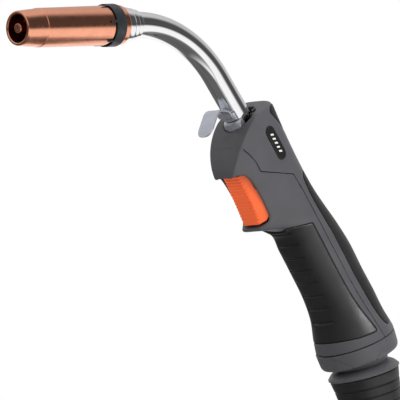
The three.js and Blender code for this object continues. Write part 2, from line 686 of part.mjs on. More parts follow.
// The trigger is open at the back; its cheeks carry the pin.
function trigger() {
  const inside = [
    [43.4, -25.8], [58, -26.3], [66, -26.8], [69.6, -27.4], [69.6, 0], [40, 0], [40, -17], [43.4, -23],
  ];
  const room = prism(polygon(inside.reverse()), -6.2, 6.2);
  const bossRoom = block(39, 51.8, 9.2, FAR, -23.5, -10);
  const boss = block(57.2, 60.8, -1.6, 1.6, -26.6, -20.7);
  const serrations = [];
  for (let x = 43; x < 72; x += 2) {
    serrations.push(block(x - 0.35, x + 0.35, -FAR, FAR, -FAR, frontAt(x) + 0.5));
  }
  const pinWay = cylinderY(1.7, -FAR, FAR, ...PIVOT, 16);
  const hollowed = cut(triggerForm(), room, bossRoom, bossRoom.mirror([0, 1, 0]), pinWay);
  return cut(join(hollowed, boss), ...serrations);
}

function frontAt(x) {
  const next = TRIGGER_FRONT.findIndex(([px], i) => i > 0 && x <= px);
  const [ax, az] = TRIGGER_FRONT[next - 1];
  const [bx, bz] = TRIGGER_FRONT[next];
  return az + ((bz - az) * (x - ax)) / (bx - ax);
}

const triggerPin = () => cylinderY(1.5, -12.2, 12.2, ...PIVOT, 16);

// Torsion spring: turns round the pin between two straight legs.
class SpringCurve extends THREE.Curve {
  getPoint(t, target = new THREE.Vector3()) {
    const radius = 2.5;
    const turns = 3.25;
    const leg = 0.12;
    const inTurns = Math.min(Math.max((t - leg) / (1 - 2 * leg), 0), 1);
    const angle = turns * 2 * Math.PI * inTurns;
    const y = 2 - 4 * inTurns;
    target.set(radius * Math.cos(angle), y, radius * Math.sin(angle));
    if (t < leg) target.z -= 4.6 * ((leg - t) / leg) * 0.55;
    if (t > 1 - leg) target.x += 6 * ((t - 1 + leg) / leg);
    return target;
  }
}

function triggerSpring() {
  const wire = new THREE.Shape();
  wire.absarc(0, 0, 0.4, 0, 2 * Math.PI);
  const options = { steps: 56, extrudePath: new SpringCurve(), bevelEnabled: false, curveSegments: 3 };
  return toSolid(new THREE.ExtrudeGeometry(wire, options)).translate([PIVOT[0], 0, PIVOT[1]]);
}

const SWITCH = { x0: 51.6, x1: 67.6, half: 3.2, z0: -18.6, z1: -10.4, plungerX: 59 };

function switchBody() {
  const { x0, x1, half, z0, z1, plungerX } = SWITCH;
  const holes = [x0 + 3, x1 - 3].map((x) => cylinderY(1.1, -FAR, FAR, x, z1 - 2.6, 12));
  const guide = block(plungerX - 1.6, plungerX + 1.6, -1.6, 1.6, z0 - 1, z0 + 2.6);
  return cut(block(x0, x1, -half, half, z0, z1), ...holes, guide);
}

function switchPlunger() {
  const { z0, plungerX } = SWITCH;
  return block(plungerX - 1.3, plungerX + 1.3, -1.3, 1.3, z0 - 1.7, z0 + 0.8);
}

function switchTerminal(x) {
  return block(x - 0.4, x + 0.4, -2.2, 2.2, SWITCH.z1 + GAP, SWITCH.z1 + 3.4);
}

// ---------- rear end; local X runs back from the groove, then from the ball centre ----------
function ballSocket(gap) {
  return toSolid(new THREE.SphereGeometry(BALL_R + gap, 28, 16)).translate([BALL_BACK, 0, 0]);
}

function rearCollar() {
  const outer = turned([
    [COLLAR_LENGTH, 15], [COLLAR_LENGTH, 18.8], [10.7, 24.2], [9.9, 25.1],
    [8.8, 25.6], [0.6, 26.2], [0, 25.7], [0, 15], [COLLAR_LENGTH, 15],
  ], 36);
  const seat = round(-1, 6.6, 24.2, 0, 28);
  return cut(outer, seat, ballSocket(0.4));
}

function ballSeat() {
  return cut(round(0.5, 6.3, 23.8, 12, 28), ballSocket(0.4));
}

function ballSwivel() {
  const flangeBack = BOOT_FROM - GAP;
  const neckX = 7.6;
  const rim = [
    [flangeBack, FLANGE_R - 0.4], [flangeBack - 0.4, FLANGE_R], [11.6, FLANGE_R],
    [9.2, 20.6], [8, 18.8],
  ];
  const from = Math.acos(neckX / BALL_R);
  const to = Math.PI * 0.77;
  const sphere = [];
  for (let i = 0; i <= 8; i++) {
    const angle = from + ((to - from) * i) / 8;
    sphere.push([BALL_R * Math.cos(angle), BALL_R * Math.sin(angle)]);
  }
  const inside = [[BALL_R * Math.cos(to), CABLE_BORE_R + 1], [flangeBack, CABLE_BORE_R + 1]];
  return turned([...rim, ...sphere, ...inside, rim[0]], 28);
}

// Tapered rubber sleeve with grooves, open through its middle for the cable.
function cableBoot() {
  const start = BOOT_FROM;
  const pitch = 6;
  const count = 11;
  const radiusAt = (x) => BOOT_R - 8.2 * ((x - start) / BOOT_LENGTH) ** 0.8;
  const outside = [[start, radiusAt(start)]];
  for (let i = 0; i < count; i++) {
    const x = start + 6.5 + i * pitch;
    const deep = radiusAt(x) - 0.9;
    outside.push([x, radiusAt(x)], [x + 0.3, deep], [x + 1, deep], [x + 1.3, radiusAt(x)]);
  }
  outside.push([start + BOOT_LENGTH - 1.4, 14.2], [start + BOOT_LENGTH, 12.8]);
  const inside = [[start + BOOT_LENGTH, CABLE_BORE_R], [start, CABLE_BORE_R + 1.6]];
  return turned([...outside, ...inside, outside[0]], 24);
}

// ---------- assembly ----------
place(nozzle, "gas_nozzle", "copper", gasNozzle());
place(nozzle, "nozzle_band", "blackened", nozzleBand());
place(nozzle, "contact_tip", "copper", contactTip());
place(nozzle, "tip_holder", "brass", tipHolder());
place(nozzle, "gas_diffuser", "ceramic", gasDiffuser());
place(nozzle, "neck_head", "brass", neckHead());
place(nozzle, "nozzle_insulator", "insulation", nozzleInsulator());
place(nozzle, "neck_collar", "chrome", neckCollar());

const tubeLine = new NeckCurve(TUBE_FRONT, TUBE_BACK);
place(fromMouth, "swan_neck_tube", "chrome", pipe(tubeLine, TUBE_R, TUBE_BORE_R, 9, 20));
const linerLine = new NeckCurve(56.5, BLOCK_TO + 12);
place(fromMouth, "wire_liner", "steel", pipe(linerLine, 2.1, 1.2, 4, 22));
place(fromMouth, "hanging_hook", "steel", hangingHook());

place(neckAxis, "neck_sleeve", "steel", neckSleeve());
place(neckAxis, "neck_block", "brass", neckBlock());
place(neckAxis, "power_stud", "brass", powerStud());
place(neckAxis, "gas_barb", "brass", barb(5.4, 3.2, 2.2));
place(neckAxis, "water_barb", "brass", barb(-5.4, 3.2, 2.2));
place(neckAxis, "liner_nut", "brass", linerNut());

place(handle, "back_shell", "shell", backShell());
place(handle, "front_shell", "shell", frontShell());
place(handle, "front_grip", "rubber", frontGrip());
place(handle, "back_grip", "rubber", backGrip());
place(handle, "nose_insert", "rubber", noseInsert());
place(handle, "badge_left", "black", badge(1));
place(handle, "badge_right", "black", badge(-1));
place(handle, "clamp_screw", "steel", clampScrew());
place(handle, "trigger", "trigger", trigger());
place(handle, "trigger_pin", "steel", triggerPin());
place(handle, "trigger_spring", "steel", triggerSpring());
place(handle, "switch_body", "black", switchBody());
place(handle, "switch_plunger", "trigger", switchPlunger());
place(handle, "switch_terminal_1", "brass", switchTerminal(SWITCH.x0 + 4));
place(handle, "switch_terminal_2", "brass", switchTerminal(SWITCH.x1 - 4));

place(rear, "rear_collar", "shell", rearCollar());
place(rear, "ball_seat", "black", ballSeat());
place(ball, "ball_swivel", "shell", ballSwivel());
place(ball, "cable_boot", "rubber", cableBoot());

export default torch;
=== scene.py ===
import json
import math

import bpy
import numpy as np
from mathutils import Matrix, Vector


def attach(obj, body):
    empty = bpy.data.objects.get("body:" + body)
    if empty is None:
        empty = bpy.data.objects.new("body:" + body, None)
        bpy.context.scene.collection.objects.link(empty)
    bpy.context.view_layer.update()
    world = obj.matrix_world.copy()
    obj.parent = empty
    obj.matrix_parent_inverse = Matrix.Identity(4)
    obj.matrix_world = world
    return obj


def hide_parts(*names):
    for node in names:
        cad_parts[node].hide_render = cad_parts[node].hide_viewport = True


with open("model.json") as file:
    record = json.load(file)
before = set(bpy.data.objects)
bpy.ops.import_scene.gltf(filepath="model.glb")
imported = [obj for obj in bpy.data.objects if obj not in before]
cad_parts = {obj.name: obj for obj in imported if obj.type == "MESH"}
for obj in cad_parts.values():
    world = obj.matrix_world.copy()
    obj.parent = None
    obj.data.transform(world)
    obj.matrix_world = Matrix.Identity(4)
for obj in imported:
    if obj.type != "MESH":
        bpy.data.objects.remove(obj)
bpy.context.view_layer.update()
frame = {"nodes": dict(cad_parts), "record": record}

# The MIG torch's looks. Shapes are worked out in millimetres in the frames of the design
# (handle, neck, nozzle, rear collar, ball) and placed in the row frame in metres.
MM = 0.001
GAP = 0.3

# ---------- driving dimensions, the same as the design's ----------
HANDLE_PITCH = 54
NECK_PITCH = 51
NOZZLE_PITCH = 5
REAR_PITCH = 64
BOOT_PITCH = 70
GRIP_CENTRE = (122, 4.5)
MOUTH_Z = -0.7
TUBE_R = 8
TUBE_BORE_R = 6.4
BEND_R = 79
NECK_STRAIGHT = 60
BEND_STEPS = 72
TUBE_SIDES = 96
NOZZLE_REACH = 139
TUBE_FRONT = 84
TUBE_BACK = 50
NOZZLE_LENGTH = 83.8
NOZZLE_MOUTH_R = 10.9
NOZZLE_STEP = 15.6
NOZZLE_R = 12.5
NOZZLE_BORE_R = 10.5
MOUTH_BORE_R = 8.9
BAND_FROM = 71.2
BAND_WIDTH = 8.2
BAND_R = 13.4
NOZZLE_SLOTS = 6
SLOT_HALF = 0.8
SLOT_AHEAD = 6
SLOT_HOLE_R = 1.5
SLOT_TURN = 10
TONGUE_HALF = 0.75
TONGUE_TURN = 22
HANDLE_FRONT = 12
HANDLE_BACK = 180.5
REAR_Z = -0.4
WALL = 2.4
GRIP_SKIN = 1.8
MOUTH_R = 11.6
MOUTH_RIBS = (35, -35, 72, -72)
BALL_BACK = 8.2
BALL_R = 18.2
COLLAR_LENGTH = 11.9
BOOT_FROM = 13.2
BOOT_LENGTH = 72
BOOT_R = 22.4
BOOT_END_R = 14.2
BOOT_GROOVES = 11
BOOT_GROOVE_FROM = 6.5
BOOT_GROOVE_PITCH = 6
BOOT_GROOVE_DEPTH = 0.8
FLANGE_R = 23.1
TRIGGER_INSET = 1.6
SLEEVE_FROM = 10.2
SLEEVE_R = 11.2
SLEEVE_HALF = 7.6
CABLE_BORE_R = 10
PIVOT = (45.5, -20.5)
PIN_BOSS_R = 2.6
SCREW_AT = 24
SCREW_R = 1.9
GRIP_GROOVES = 8
GRIP_GROOVE_FROM = 91
GRIP_GROOVE_PITCH = 9.3
GRIP_GROOVE_HALF = 8.8
TRIGGER_RIB_FROM = 43
TRIGGER_RIB_PITCH = 2.1
TRIGGER_RIB_DEPTH = 0.5
FAR = 60  # past the handle on any side

# Cross-sections of the handle: x, centre, half width, front and back depth, and the
# squareness of the front and of the back.
SECTIONS = np.array([
    (8, 2, 17.4, 40, 19.6, 2.05, 3.4),
    (33, 2, 17.8, 40, 16.7, 2.05, 3.4),
    (50, 2.4, 17.9, 39.6, 15.5, 2.05, 3.2),
    (64, 2.8, 18, 39, 15.2, 2.05, 3),
    (78, 3.4, 18.1, 39, 15.7, 2.1, 2.8),
    (91, 4, 18.2, 19.4, 17.6, 2.4, 2.6),
    (105, 4.5, 18.3, 19.3, 19.9, 2.4, 2.5),
    (122, 4.5, 18.4, 19.3, 21.8, 2.4, 2.5),
    (140, 4.4, 19, 19.4, 21.5, 2.4, 2.4),
    (156, 3.6, 20.8, 21.2, 22, 2.3, 2.3),
    (169, 1.4, 23.8, 24.6, 23.4, 2.1, 2.1),
    (181, -0.4, 26.1, 26.2, 26.1, 2, 2),
    (192, -0.4, 26.1, 26.2, 26.1, 2, 2),
])
NOSE_END = 44
LIP_X = 36.6
NOSE_Z = 3
NOSE_DEPTH = 39.6
NOSE_POWER = 1.6
# Outlines seen from the side, as x and z in the handle's frame.
LIP = [(37, -34), (37.4, -31), (39.2, -27.8), (44.6, -25.2), (57.6, -24.2)]
POCKET_END = [(66, -24.4), (71, -25), (73.4, -26.8), (74.4, -29.6), (74.6, -33.2)]
GUARD = [(76.2, -33.4), (78.6, -29.8), (82, -23.2), (86, -16.8), (90, -15.3), (94, -19)]
PARTING_ARC = [(22, -21.6), (27.5, -19.4), (32.3, -17.8), (37.6, -17), (43.2, -17)]
PARTING_STRIP = [(58.5, 3.6), (72, 4.4), (120, 4.6), (155, 3.9), (180, 2.4), (FAR * 4, 1)]
FRONT_GRIP = [(84.4, -20.5), (92, -0.4), (150, -0.6), (163, 0), (174.6, 0.6), (171.6, -12), (164.5, -32)]
BACK_GRIP = [(62, 13), (66, 9.6), (80, 8.6), (110, 10), (150, 9.2), (165, 8.4), (173, 9.4), (177, 12)]
INSERT = [(14.6, 12.4), (16.4, 10.2), (36, 16.8), (36, FAR), (14.6, FAR)]
TRIGGER_FRONT = [(39.2, -28.4), (44, -28.8), (58, -29.2), (66, -30), (73.2, -31.2)]
TRIGGER_BACK = [(73.2, -26.6), (70, -21.4), (50, -20), (49.4, -17.6), (41.6, -17.6), (39.2, -21)]
TRIGGER_ROOM = [
    (43.4, -25.8), (58, -26.3), (66, -26.8), (69.6, -27.4), (69.6, 0), (40, 0), (40, -17), (43.4, -23),
]
GUARD_WALL = [(74.6, -22), (74.6, -FAR), (92, -FAR), (92, -9), (84, -9), (76, -17)]
FRONT_FALL = 4.8
FRONT_HALF = 6.5
CHEEK_SPREAD = 0.68
BADGE_LENGTH = 23
BADGE_WIDTH = 7
BADGE_AT = (34.7, 2.8)
BADGE_FACE = 17.9
BADGE_DEPTH = 1.2
BADGE_BARS = 5
BADGE_BAR_PITCH = 3
BADGE_BAR = ((-1.15, -1.1), (0.15, -1.1), (1.15, 1.1), (-0.15, 1.1))


# ---------- frames ----------
def frame_at(parent, x, z, pitch):
    move = Matrix.Translation((x * MM, 0, z * MM))
    return parent @ move @ Matrix.Rotation(math.radians(pitch), 4, "Y")


def reach(pitch, length):
    return length * math.cos(math.radians(pitch)), -length * math.sin(math.radians(pitch))


def from_grip(x, z):
    """Place of a point of the handle, its x and z, in the row frame."""
    ahead, above = x - GRIP_CENTRE[0], z - GRIP_CENTRE[1]
    c, s = math.cos(math.radians(HANDLE_PITCH)), math.sin(math.radians(HANDLE_PITCH))
    return ahead * c + above * s, above * c - ahead * s


ROW = Matrix.Identity(4)
HANDLE = frame_at(ROW, *from_grip(0, 0), HANDLE_PITCH)
MOUTH = frame_at(ROW, *from_grip(0, MOUTH_Z), 0)
NECK = frame_at(MOUTH, 0, 0, NECK_PITCH)
CORNER = reach(NECK_PITCH, -NECK_STRAIGHT)
AHEAD = reach(-NOZZLE_PITCH, -NOZZLE_REACH)
NOZZLE = frame_at(MOUTH, CORNER[0] + AHEAD[0], CORNER[1] + AHEAD[1], -NOZZLE_PITCH)
REAR = frame_at(HANDLE, HANDLE_BACK, REAR_Z, REAR_PITCH - HANDLE_PITCH)
BALL = frame_at(REAR, BALL_BACK, 0, BOOT_PITCH - REAR_PITCH)


# ---------- meshes ----------
def mesh_piece(name, where, points, faces, look, body, nodes, slot, sharp=35):
    """One piece from points in millimetres in the frame where, standing for CAD nodes."""
    mesh = bpy.data.meshes.new(name)
    mesh.vertices.add(len(points))
    mesh.vertices.foreach_set("co", (np.asarray(points, np.float32) * MM).ravel())
    sizes = [len(f) for f in faces]
    mesh.loops.add(sum(sizes))
    corners = faces.ravel() if isinstance(faces, np.ndarray) else np.concatenate(faces)
    mesh.loops.foreach_set("vertex_index", corners.astype(np.int32))
    mesh.polygons.add(len(sizes))
    mesh.polygons.foreach_set("loop_start", np.cumsum([0] + sizes[:-1]).astype(np.int32))
    mesh.update(calc_edges=True)
    mesh.validate()
    mesh.polygons.foreach_set("use_smooth", np.ones(len(sizes), bool))
    mesh.set_sharp_from_angle(angle=math.radians(sharp))
    obj = bpy.data.objects.new(name, mesh)
    bpy.context.scene.collection.objects.link(obj)
    obj.matrix_world = where
    mesh.materials.append(look)
    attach(obj, body)
    if nodes:
        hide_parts(*nodes)
    return obj


def rounded(outline, radius):
    """A closed outline with an arc at each corner. radius is one number or one for each corner."""
    made = []
    count = len(outline)
    for i, corner in enumerate(outline):
        r = radius if np.isscalar(radius) else radius[i]
        here, before, after = (np.array(outline[(i + k) % count], float) for k in (0, -1, 1))
        to_before, to_after = before - here, after - here
        a, b = np.linalg.norm(to_before), np.linalg.norm(to_after)
        if r <= 0 or a < 1e-6 or b < 1e-6:
            made.append(tuple(here))
            continue
        to_before, to_after = to_before / a, to_after / b
        half = math.acos(float(np.clip(to_before @ to_after, -1, 1))) / 2
        if half > math.radians(88):
            made.append(tuple(here))
            continue
        back = min(r / math.tan(half), a * 0.45, b * 0.45)
        r = back * math.tan(half)
        middle = here + (to_before + to_after) / np.linalg.norm(to_before + to_after) * (r / math.sin(half))
        start, end = here + to_before * back - middle, here + to_after * back - middle
        steps = max(2, round((math.pi - 2 * half) / math.radians(15)))
        for k in range(steps + 1):
            p = start * (1 - k / steps) + end * (k / steps)
            made.append(tuple(middle + p / np.linalg.norm(p) * r))
    return made


def turned(outline, sides):
    """Points and faces of a solid of revolution about X, from its closed outline of (x, radius)."""
    outline = [p for i, p in enumerate(outline) if np.hypot(*np.subtract(p, outline[i - 1])) > 1e-4]
    area = sum(a[0] * b[1] - b[0] * a[1] for a, b in zip(outline, outline[1:] + outline[:1]))
    if area > 0:
        outline = outline[::-1]
    x, r = np.array(outline).T
    angle = np.arange(sides) * 2 * math.pi / sides
    points = np.stack([
        np.repeat(x[:, None], sides, 1),
        r[:, None] * np.cos(angle),
        r[:, None] * np.sin(angle),
    ], -1).reshape(-1, 3)
    i, j = np.meshgrid(np.arange(len(x)), np.arange(sides), indexing="ij")
    ahead, beside = (i + 1) % len(x), (j + 1) % sides
    row, next_row = i * sides, ahead * sides
    faces = np.stack([row + j, row + beside, next_row + beside, next_row + j], -1)
    return points, faces.reshape(-1, 4)


# ---------- solids as distance fields ----------
class Grid:
    """Points of a box at an even step, with local x, y and z as broadcasting arrays."""

    def __init__(self, low, high, step):
        axes = [np.arange(a, b + step, step, dtype=np.float32) for a, b in zip(low, high)]
        self.low, self.step = np.array(low, float), step
        self.x, self.y, self.z = np.meshgrid(*axes, indexing="ij", sparse=True)


def meet(a, b, radius):
    """What lies in both fields, with an arc of that radius along the edge they make."""
    u, v = np.maximum(a + radius, 0), np.maximum(b + radius, 0)
    return np.minimum(-radius, np.maximum(a, b)) + np.sqrt(u * u + v * v)


def less(a, b, radius):
    """What lies in the first field and not in the second."""
    return meet(a, -b, radius)


def joined(a, b, radius):
    """What lies in either field."""
    return -meet(-a, -b, radius)


def outline_field(outline, u, v):
    """Signed distance to a closed outline, below zero inside it."""
    u, v = np.broadcast_arrays(u, v)
    nearest = np.full(u.shape, 1e9, np.float32)
    inside = np.zeros(u.shape, bool)
    for (au, av), (bu, bv) in zip(outline, outline[1:] + outline[:1]):
        du, dv = bu - au, bv - av
        length = du * du + dv * dv
        if length < 1e-9:
            continue
        t = np.clip(((u - au) * du + (v - av) * dv) / length, 0, 1)
        nearest = np.minimum(nearest, (u - au - t * du) ** 2 + (v - av - t * dv) ** 2)
        if dv:
            inside ^= ((av > v) != (bv > v)) & (u < (v - av) * (du / dv) + au)
    return np.where(inside, -1, 1).astype(np.float32) * np.sqrt(nearest)


def surface(field, grid):
    """Points and four-sided faces where the field is zero: one point in each cell it crosses."""
    inside = field < 0
    size = np.array(field.shape)
    count = np.zeros(size - 1, np.int8)
    for i in (0, 1):
        for j in (0, 1):
            for k in (0, 1):
                part = inside[i:size[0] - 1 + i, j:size[1] - 1 + j, k:size[2] - 1 + k]
                count += part.astype(np.int8)
    cells = np.argwhere((count > 0) & (count < 8))
    total, hits = np.zeros((len(cells), 3)), np.zeros(len(cells))
    for axis in range(3):
        for du in (0, 1):
            for dv in (0, 1):
                start = cells.copy()
                start[:, (axis + 1) % 3] += du
                start[:, (axis + 2) % 3] += dv
                end = start.copy()
                end[:, axis] += 1
                a, b = field[tuple(start.T)], field[tuple(end.T)]
                crossed = (a < 0) != (b < 0)
                share = np.where(crossed, a / np.where(crossed, a - b, 1), 0)
                point = start.astype(float)
                point[:, axis] += share
                total += point * crossed[:, None]
                hits += crossed
    points = total / hits[:, None]
    points = onto_zero(field, points)
    number = np.full(size - 1, -1, np.int64)
    number[tuple(cells.T)] = np.arange(len(cells))
    faces = []
    for axis in range(3):
        u, v = (axis + 1) % 3, (axis + 2) % 3
        low = [slice(None)] * 3
        high = [slice(None)] * 3
        low[axis], high[axis] = slice(0, -1), slice(1, None)
        edges = np.argwhere(inside[tuple(low)] != inside[tuple(high)])
        keep = (edges[:, u] > 0) & (edges[:, v] > 0)
        keep &= (edges[:, u] < size[u] - 1) & (edges[:, v] < size[v] - 1)
        edges = edges[keep]
        step_u, step_v = np.zeros(3, int), np.zeros(3, int)
        step_u[u], step_v[v] = 1, 1
        ring = [edges, edges - step_u, edges - step_u - step_v, edges - step_v]
        quad = np.stack([number[tuple(c.T)] for c in ring], 1)
        outward = inside[tuple(edges.T)]
        faces.append(np.where(outward[:, None], quad, quad[:, ::-1]))
    return grid.low + points * grid.step, np.concatenate(faces)


def onto_zero(field, points):
    """Moves points, in two short steps, to where the field between its samples is zero."""
    least_slope, longest_step = 0.05, 0.4
    top = np.array(field.shape) - 2
    for _ in range(2):
        cell = np.clip(np.floor(points).astype(int), 0, top)
        f = points - cell
        value, slope = np.zeros(len(points)), np.zeros((len(points), 3))
        for i in (0, 1):
            for j in (0, 1):
                for k in (0, 1):
                    sample = field[cell[:, 0] + i, cell[:, 1] + j, cell[:, 2] + k]
                    w = np.where((i, j, k), f, 1 - f).T
                    sign = [2 * i - 1, 2 * j - 1, 2 * k - 1]
                    value += sample * w[0] * w[1] * w[2]
                    slope[:, 0] += sample * sign[0] * w[1] * w[2]
                    slope[:, 1] += sample * sign[1] * w[0] * w[2]
                    slope[:, 2] += sample * sign[2] * w[0] * w[1]
        steep = np.maximum((slope ** 2).sum(1), least_slope)
        move = -(value / steep)[:, None] * slope
        points = points + np.clip(move, -longest_step, longest_step)
    return points


def field_piece(name, where, field, grid, look, body, nodes, slot):
    points, faces = surface(field, grid)
    mesh_piece(name, where, points, faces, look, body, nodes, slot, sharp=50)


# ---------- materials ----------
class Look:
    """A Principled material with its nodes: grain and marks are procedural, in object space."""

    def __init__(self, name, colour, roughness, metallic=0.0):
        self.material = bpy.data.materials.new(name)
        self.material.use_nodes = True
        self.nodes = self.material.node_tree.nodes
        self.links = self.material.node_tree.links
        self.shader = self.nodes["Principled BSDF"]
        self.shader.inputs["Metallic"].default_value = metallic
        self.colour = colour
        self.roughness = roughness
        self.place = self.nodes.new("ShaderNodeTexCoord").outputs["Object"]

    def noise(self, size, detail=3.0, along=False):
        """Noise whose blotches are about size millimetres. along: it changes only along local X."""
        made = self.nodes.new("ShaderNodeTexNoise")
        made.inputs["Scale"].default_value = 1 / (size * MM)
        made.inputs["Detail"].default_value = detail
        if along:
            made.noise_dimensions = "1D"
            split = self.nodes.new("ShaderNodeSeparateXYZ")
            self.links.new(self.place, split.inputs[0])
            self.links.new(split.outputs["X"], made.inputs["W"])
        else:
            self.links.new(self.place, made.inputs["Vector"])
        return made.outputs["Fac"]

    def spread(self, value, low, high):
        """Noise, which lies mostly between 0.3 and 0.7, stretched to run from low to high."""
        made = self.nodes.new("ShaderNodeMapRange")
        made.inputs["From Min"].default_value = 0.3
        made.inputs["From Max"].default_value = 0.7
        made.inputs["To Min"].default_value = low
        made.inputs["To Max"].default_value = high
        self.links.new(value, made.inputs["Value"])
        return made.outputs["Result"]

    def mixed(self, factor, first, second):
        """A mix of two colours, whose sockets are 6 and 7 on the way in and 2 on the way out."""
        made = self.nodes.new("ShaderNodeMix")
        made.data_type = "RGBA"
        made.inputs[6].default_value = (*first, 1)
        made.inputs[7].default_value = (*second, 1)
        self.links.new(factor, made.inputs[0])
        return made.outputs[2]

    def tinted(self, size, share):
        """Blotches that are darker and lighter than the colour by a share of it."""
        dark = tuple(c * (1 - share) for c in self.colour)
        light = tuple(min(c * (1 + share), 1) for c in self.colour)
        blotches = self.spread(self.noise(size), 0, 1)
        self.links.new(self.mixed(blotches, dark, light), self.shader.inputs["Base Color"])
        return self

    def worn(self, size, change):
        """Blotches that are smoother and rougher by the change."""
        low, high = max(self.roughness - change, 0.02), self.roughness + change
        self.links.new(self.spread(self.noise(size), low, high), self.shader.inputs["Roughness"])
        return self

    def bumped(self, value, depth):
        bump = self.nodes.new("ShaderNodeBump")
        bump.inputs["Distance"].default_value = depth * MM
        bump.inputs["Strength"].default_value = 1
        self.links.new(value, bump.inputs["Height"])
        self.links.new(bump.outputs["Normal"], self.shader.inputs["Normal"])
        return self

    def set(self, **values):
        for key, value in values.items():
            self.shader.inputs[key.replace("_", " ")].default_value = value
        return self


def moulded(name, colour, roughness, grain=0.35, depth=0.03, share=0.06, **values):
    """Moulded plastic or rubber with a fine grain."""
    look = Look(name, colour, roughness).tinted(14, share).worn(5, 0.05)
    look.bumped(look.noise(grain, 2), depth)
    return look.set(**values)


def metal(name, colour, roughness, marks=0.12, depth=0.004, share=0.08, metallic=1.0):
    """Metal with fine turning marks across local X."""
    look = Look(name, colour, roughness, metallic).tinted(9, share).worn(3, roughness * 0.3)
    return look.bumped(look.noise(marks, 3, along=True), depth)


LOOKS = {
    "shell": moulded("shell_plastic", (0.06, 0.0595, 0.066), 0.46),
    "rubber": moulded(
        "grip_rubber", (0.013, 0.0135, 0.013), 0.42, grain=0.25, depth=0.02, Specular_IOR_Level=0.3,
    ),
    "boot_rubber": moulded("boot_rubber", (0.011, 0.011, 0.011), 0.42, grain=0.3, depth=0.02),
    "dark_plastic": moulded("flange_plastic", (0.06, 0.06, 0.066), 0.42),
    "black_plastic": moulded("black_plastic", (0.02, 0.02, 0.02), 0.4),
    "trigger": moulded("trigger_nylon", (0.82, 0.115, 0.02), 0.38, grain=0.3, depth=0.015, share=0.03),
    "insulation": moulded("insulation", (0.05, 0.035, 0.03), 0.6),
    "ceramic": moulded("red_insulation", (0.5, 0.05, 0.03), 0.45),
    "copper": metal("polished_copper", (0.85, 0.37, 0.235), 0.2, share=0.03),
    "chrome": metal("chrome_plate", (0.78, 0.78, 0.79), 0.06, marks=4, depth=0.002, share=0.03),
    "blackened": metal("blackened_steel", (0.02, 0.024, 0.028), 0.45, metallic=0.3),
    "brass": metal("turned_brass", (0.72, 0.5, 0.22), 0.28),
    "steel": metal("satin_steel", (0.6, 0.62, 0.69), 0.4, marks=0.2, metallic=0.85),
    "liner": metal("drawn_steel", (0.45, 0.45, 0.46), 0.35),
    "badge": moulded("badge_plate", (0.012, 0.012, 0.012), 0.22, grain=0.2, depth=0.004),
}
BADGE_MARK = moulded("badge_mark", (0.55, 0.55, 0.53), 0.4, grain=0.2, depth=0.004)
LOOK = {slot: look.material for slot, look in LOOKS.items()}


# ---------- handle form ----------
def smooth_line(points, steps):
    """Points on a smooth curve through an open line of points."""
    p = [2 * np.array(points[0]) - np.array(points[1])] + [np.array(q, float) for q in points]
    p.append(2 * p[-1] - p[-2])
    made = []
    for a, b, c, d in zip(p, p[1:], p[2:], p[3:]):
        for k in range(steps):
            t = k / steps
            made.append(tuple(0.5 * (2 * b + (c - a) * t + (2 * a - 5 * b + 4 * c - d) * t * t
                                     + (3 * b - a - 3 * c + d) * t ** 3)))
    made.append(tuple(p[-2]))
    return made


def along(column, x):
    """One dimension of the handle's section at x, on a smooth curve through SECTIONS."""
    at, value = SECTIONS[:, 0], SECTIONS[:, column]
    slope = np.empty(len(at))
    slope[1:-1] = (value[2:] - value[:-2]) / (at[2:] - at[:-2])
    slope[0], slope[-1] = (value[1] - value[0]) / (at[1] - at[0]), 0
    i = np.clip(np.searchsorted(at, x) - 1, 0, len(at) - 2)
    span = (at[1:] - at[:-1])[i]
    t = np.clip((x - at[i]) / span, 0, 1)
    rise = t * t * (3 - 2 * t)
    leave = t * (1 - t) ** 2 * span * slope[i]
    arrive = t * t * (1 - t) * span * slope[i + 1]
    return (value[i] + (value[i + 1] - value[i]) * rise + leave - arrive).astype(np.float32)


def skin_field(g):
    """About the distance to the handle's outer skin, below zero inside it."""
    rise = g.z - along(1, g.x)
    front = rise < 0
    depth = np.where(front, along(3, g.x), along(4, g.x))
    square = np.where(front, along(5, g.x), along(6, g.x))
    level = (np.abs(g.y) / along(2, g.x)) ** square + (np.abs(rise) / depth) ** square
    level = level ** (1 / square) - 1
    steep = np.sqrt(sum(d * d for d in np.gradient(level, g.step)))
    return (level / np.maximum(steep, 0.02)).astype(np.float32)


def nose_curve(inset):
    """The nose seen from the side, a quarter of a superellipse, moved in by the inset."""
    made = []
    length = NOSE_END - HANDLE_FRONT - inset
    last = math.acos(((NOSE_END - LIP_X) / length) ** (NOSE_POWER / 2))
    for angle in np.linspace(0, last, 48):
        x = length * math.cos(angle) ** (2 / NOSE_POWER)
        z = (NOSE_DEPTH - inset) * math.sin(angle) ** (2 / NOSE_POWER)
        made.append((NOSE_END - x, NOSE_Z - z))
    return made


def side_view():
    """The nose, the trigger's pocket and the guard seen from the side, open towards the rear."""
    pocket = smooth_line([*LIP, *POCKET_END], 5)
    guard = smooth_line(GUARD, 5)
    return [*nose_curve(0), *pocket, *guard, (FAR * 4, -FAR), (FAR * 4, FAR), (HANDLE_FRONT, FAR)]


def along_neck(g):
    """The grid's x and z in the neck's frame."""
    lean = math.radians(NECK_PITCH - HANDLE_PITCH)
    above = g.z - MOUTH_Z
    x = g.x * math.cos(lean) - above * math.sin(lean)
    z = g.x * math.sin(lean) + above * math.cos(lean)
    return x, z


def mouth_field(g):
    """The opening round the neck, with the ribs that hold the tube."""
    x, z = along_neck(g)
    opening = np.maximum(np.sqrt(g.y ** 2 + z ** 2) - MOUTH_R, np.abs(x - 5) - 25)
    for turn in MOUTH_RIBS:
        c, s = math.cos(math.radians(turn)), math.sin(math.radians(turn))
        rib = np.maximum(np.abs(g.y * c + z * s) - 0.8, TUBE_R + 0.6 - (z * c - g.y * s))
        opening = less(opening, rib, 0.3)
    return opening


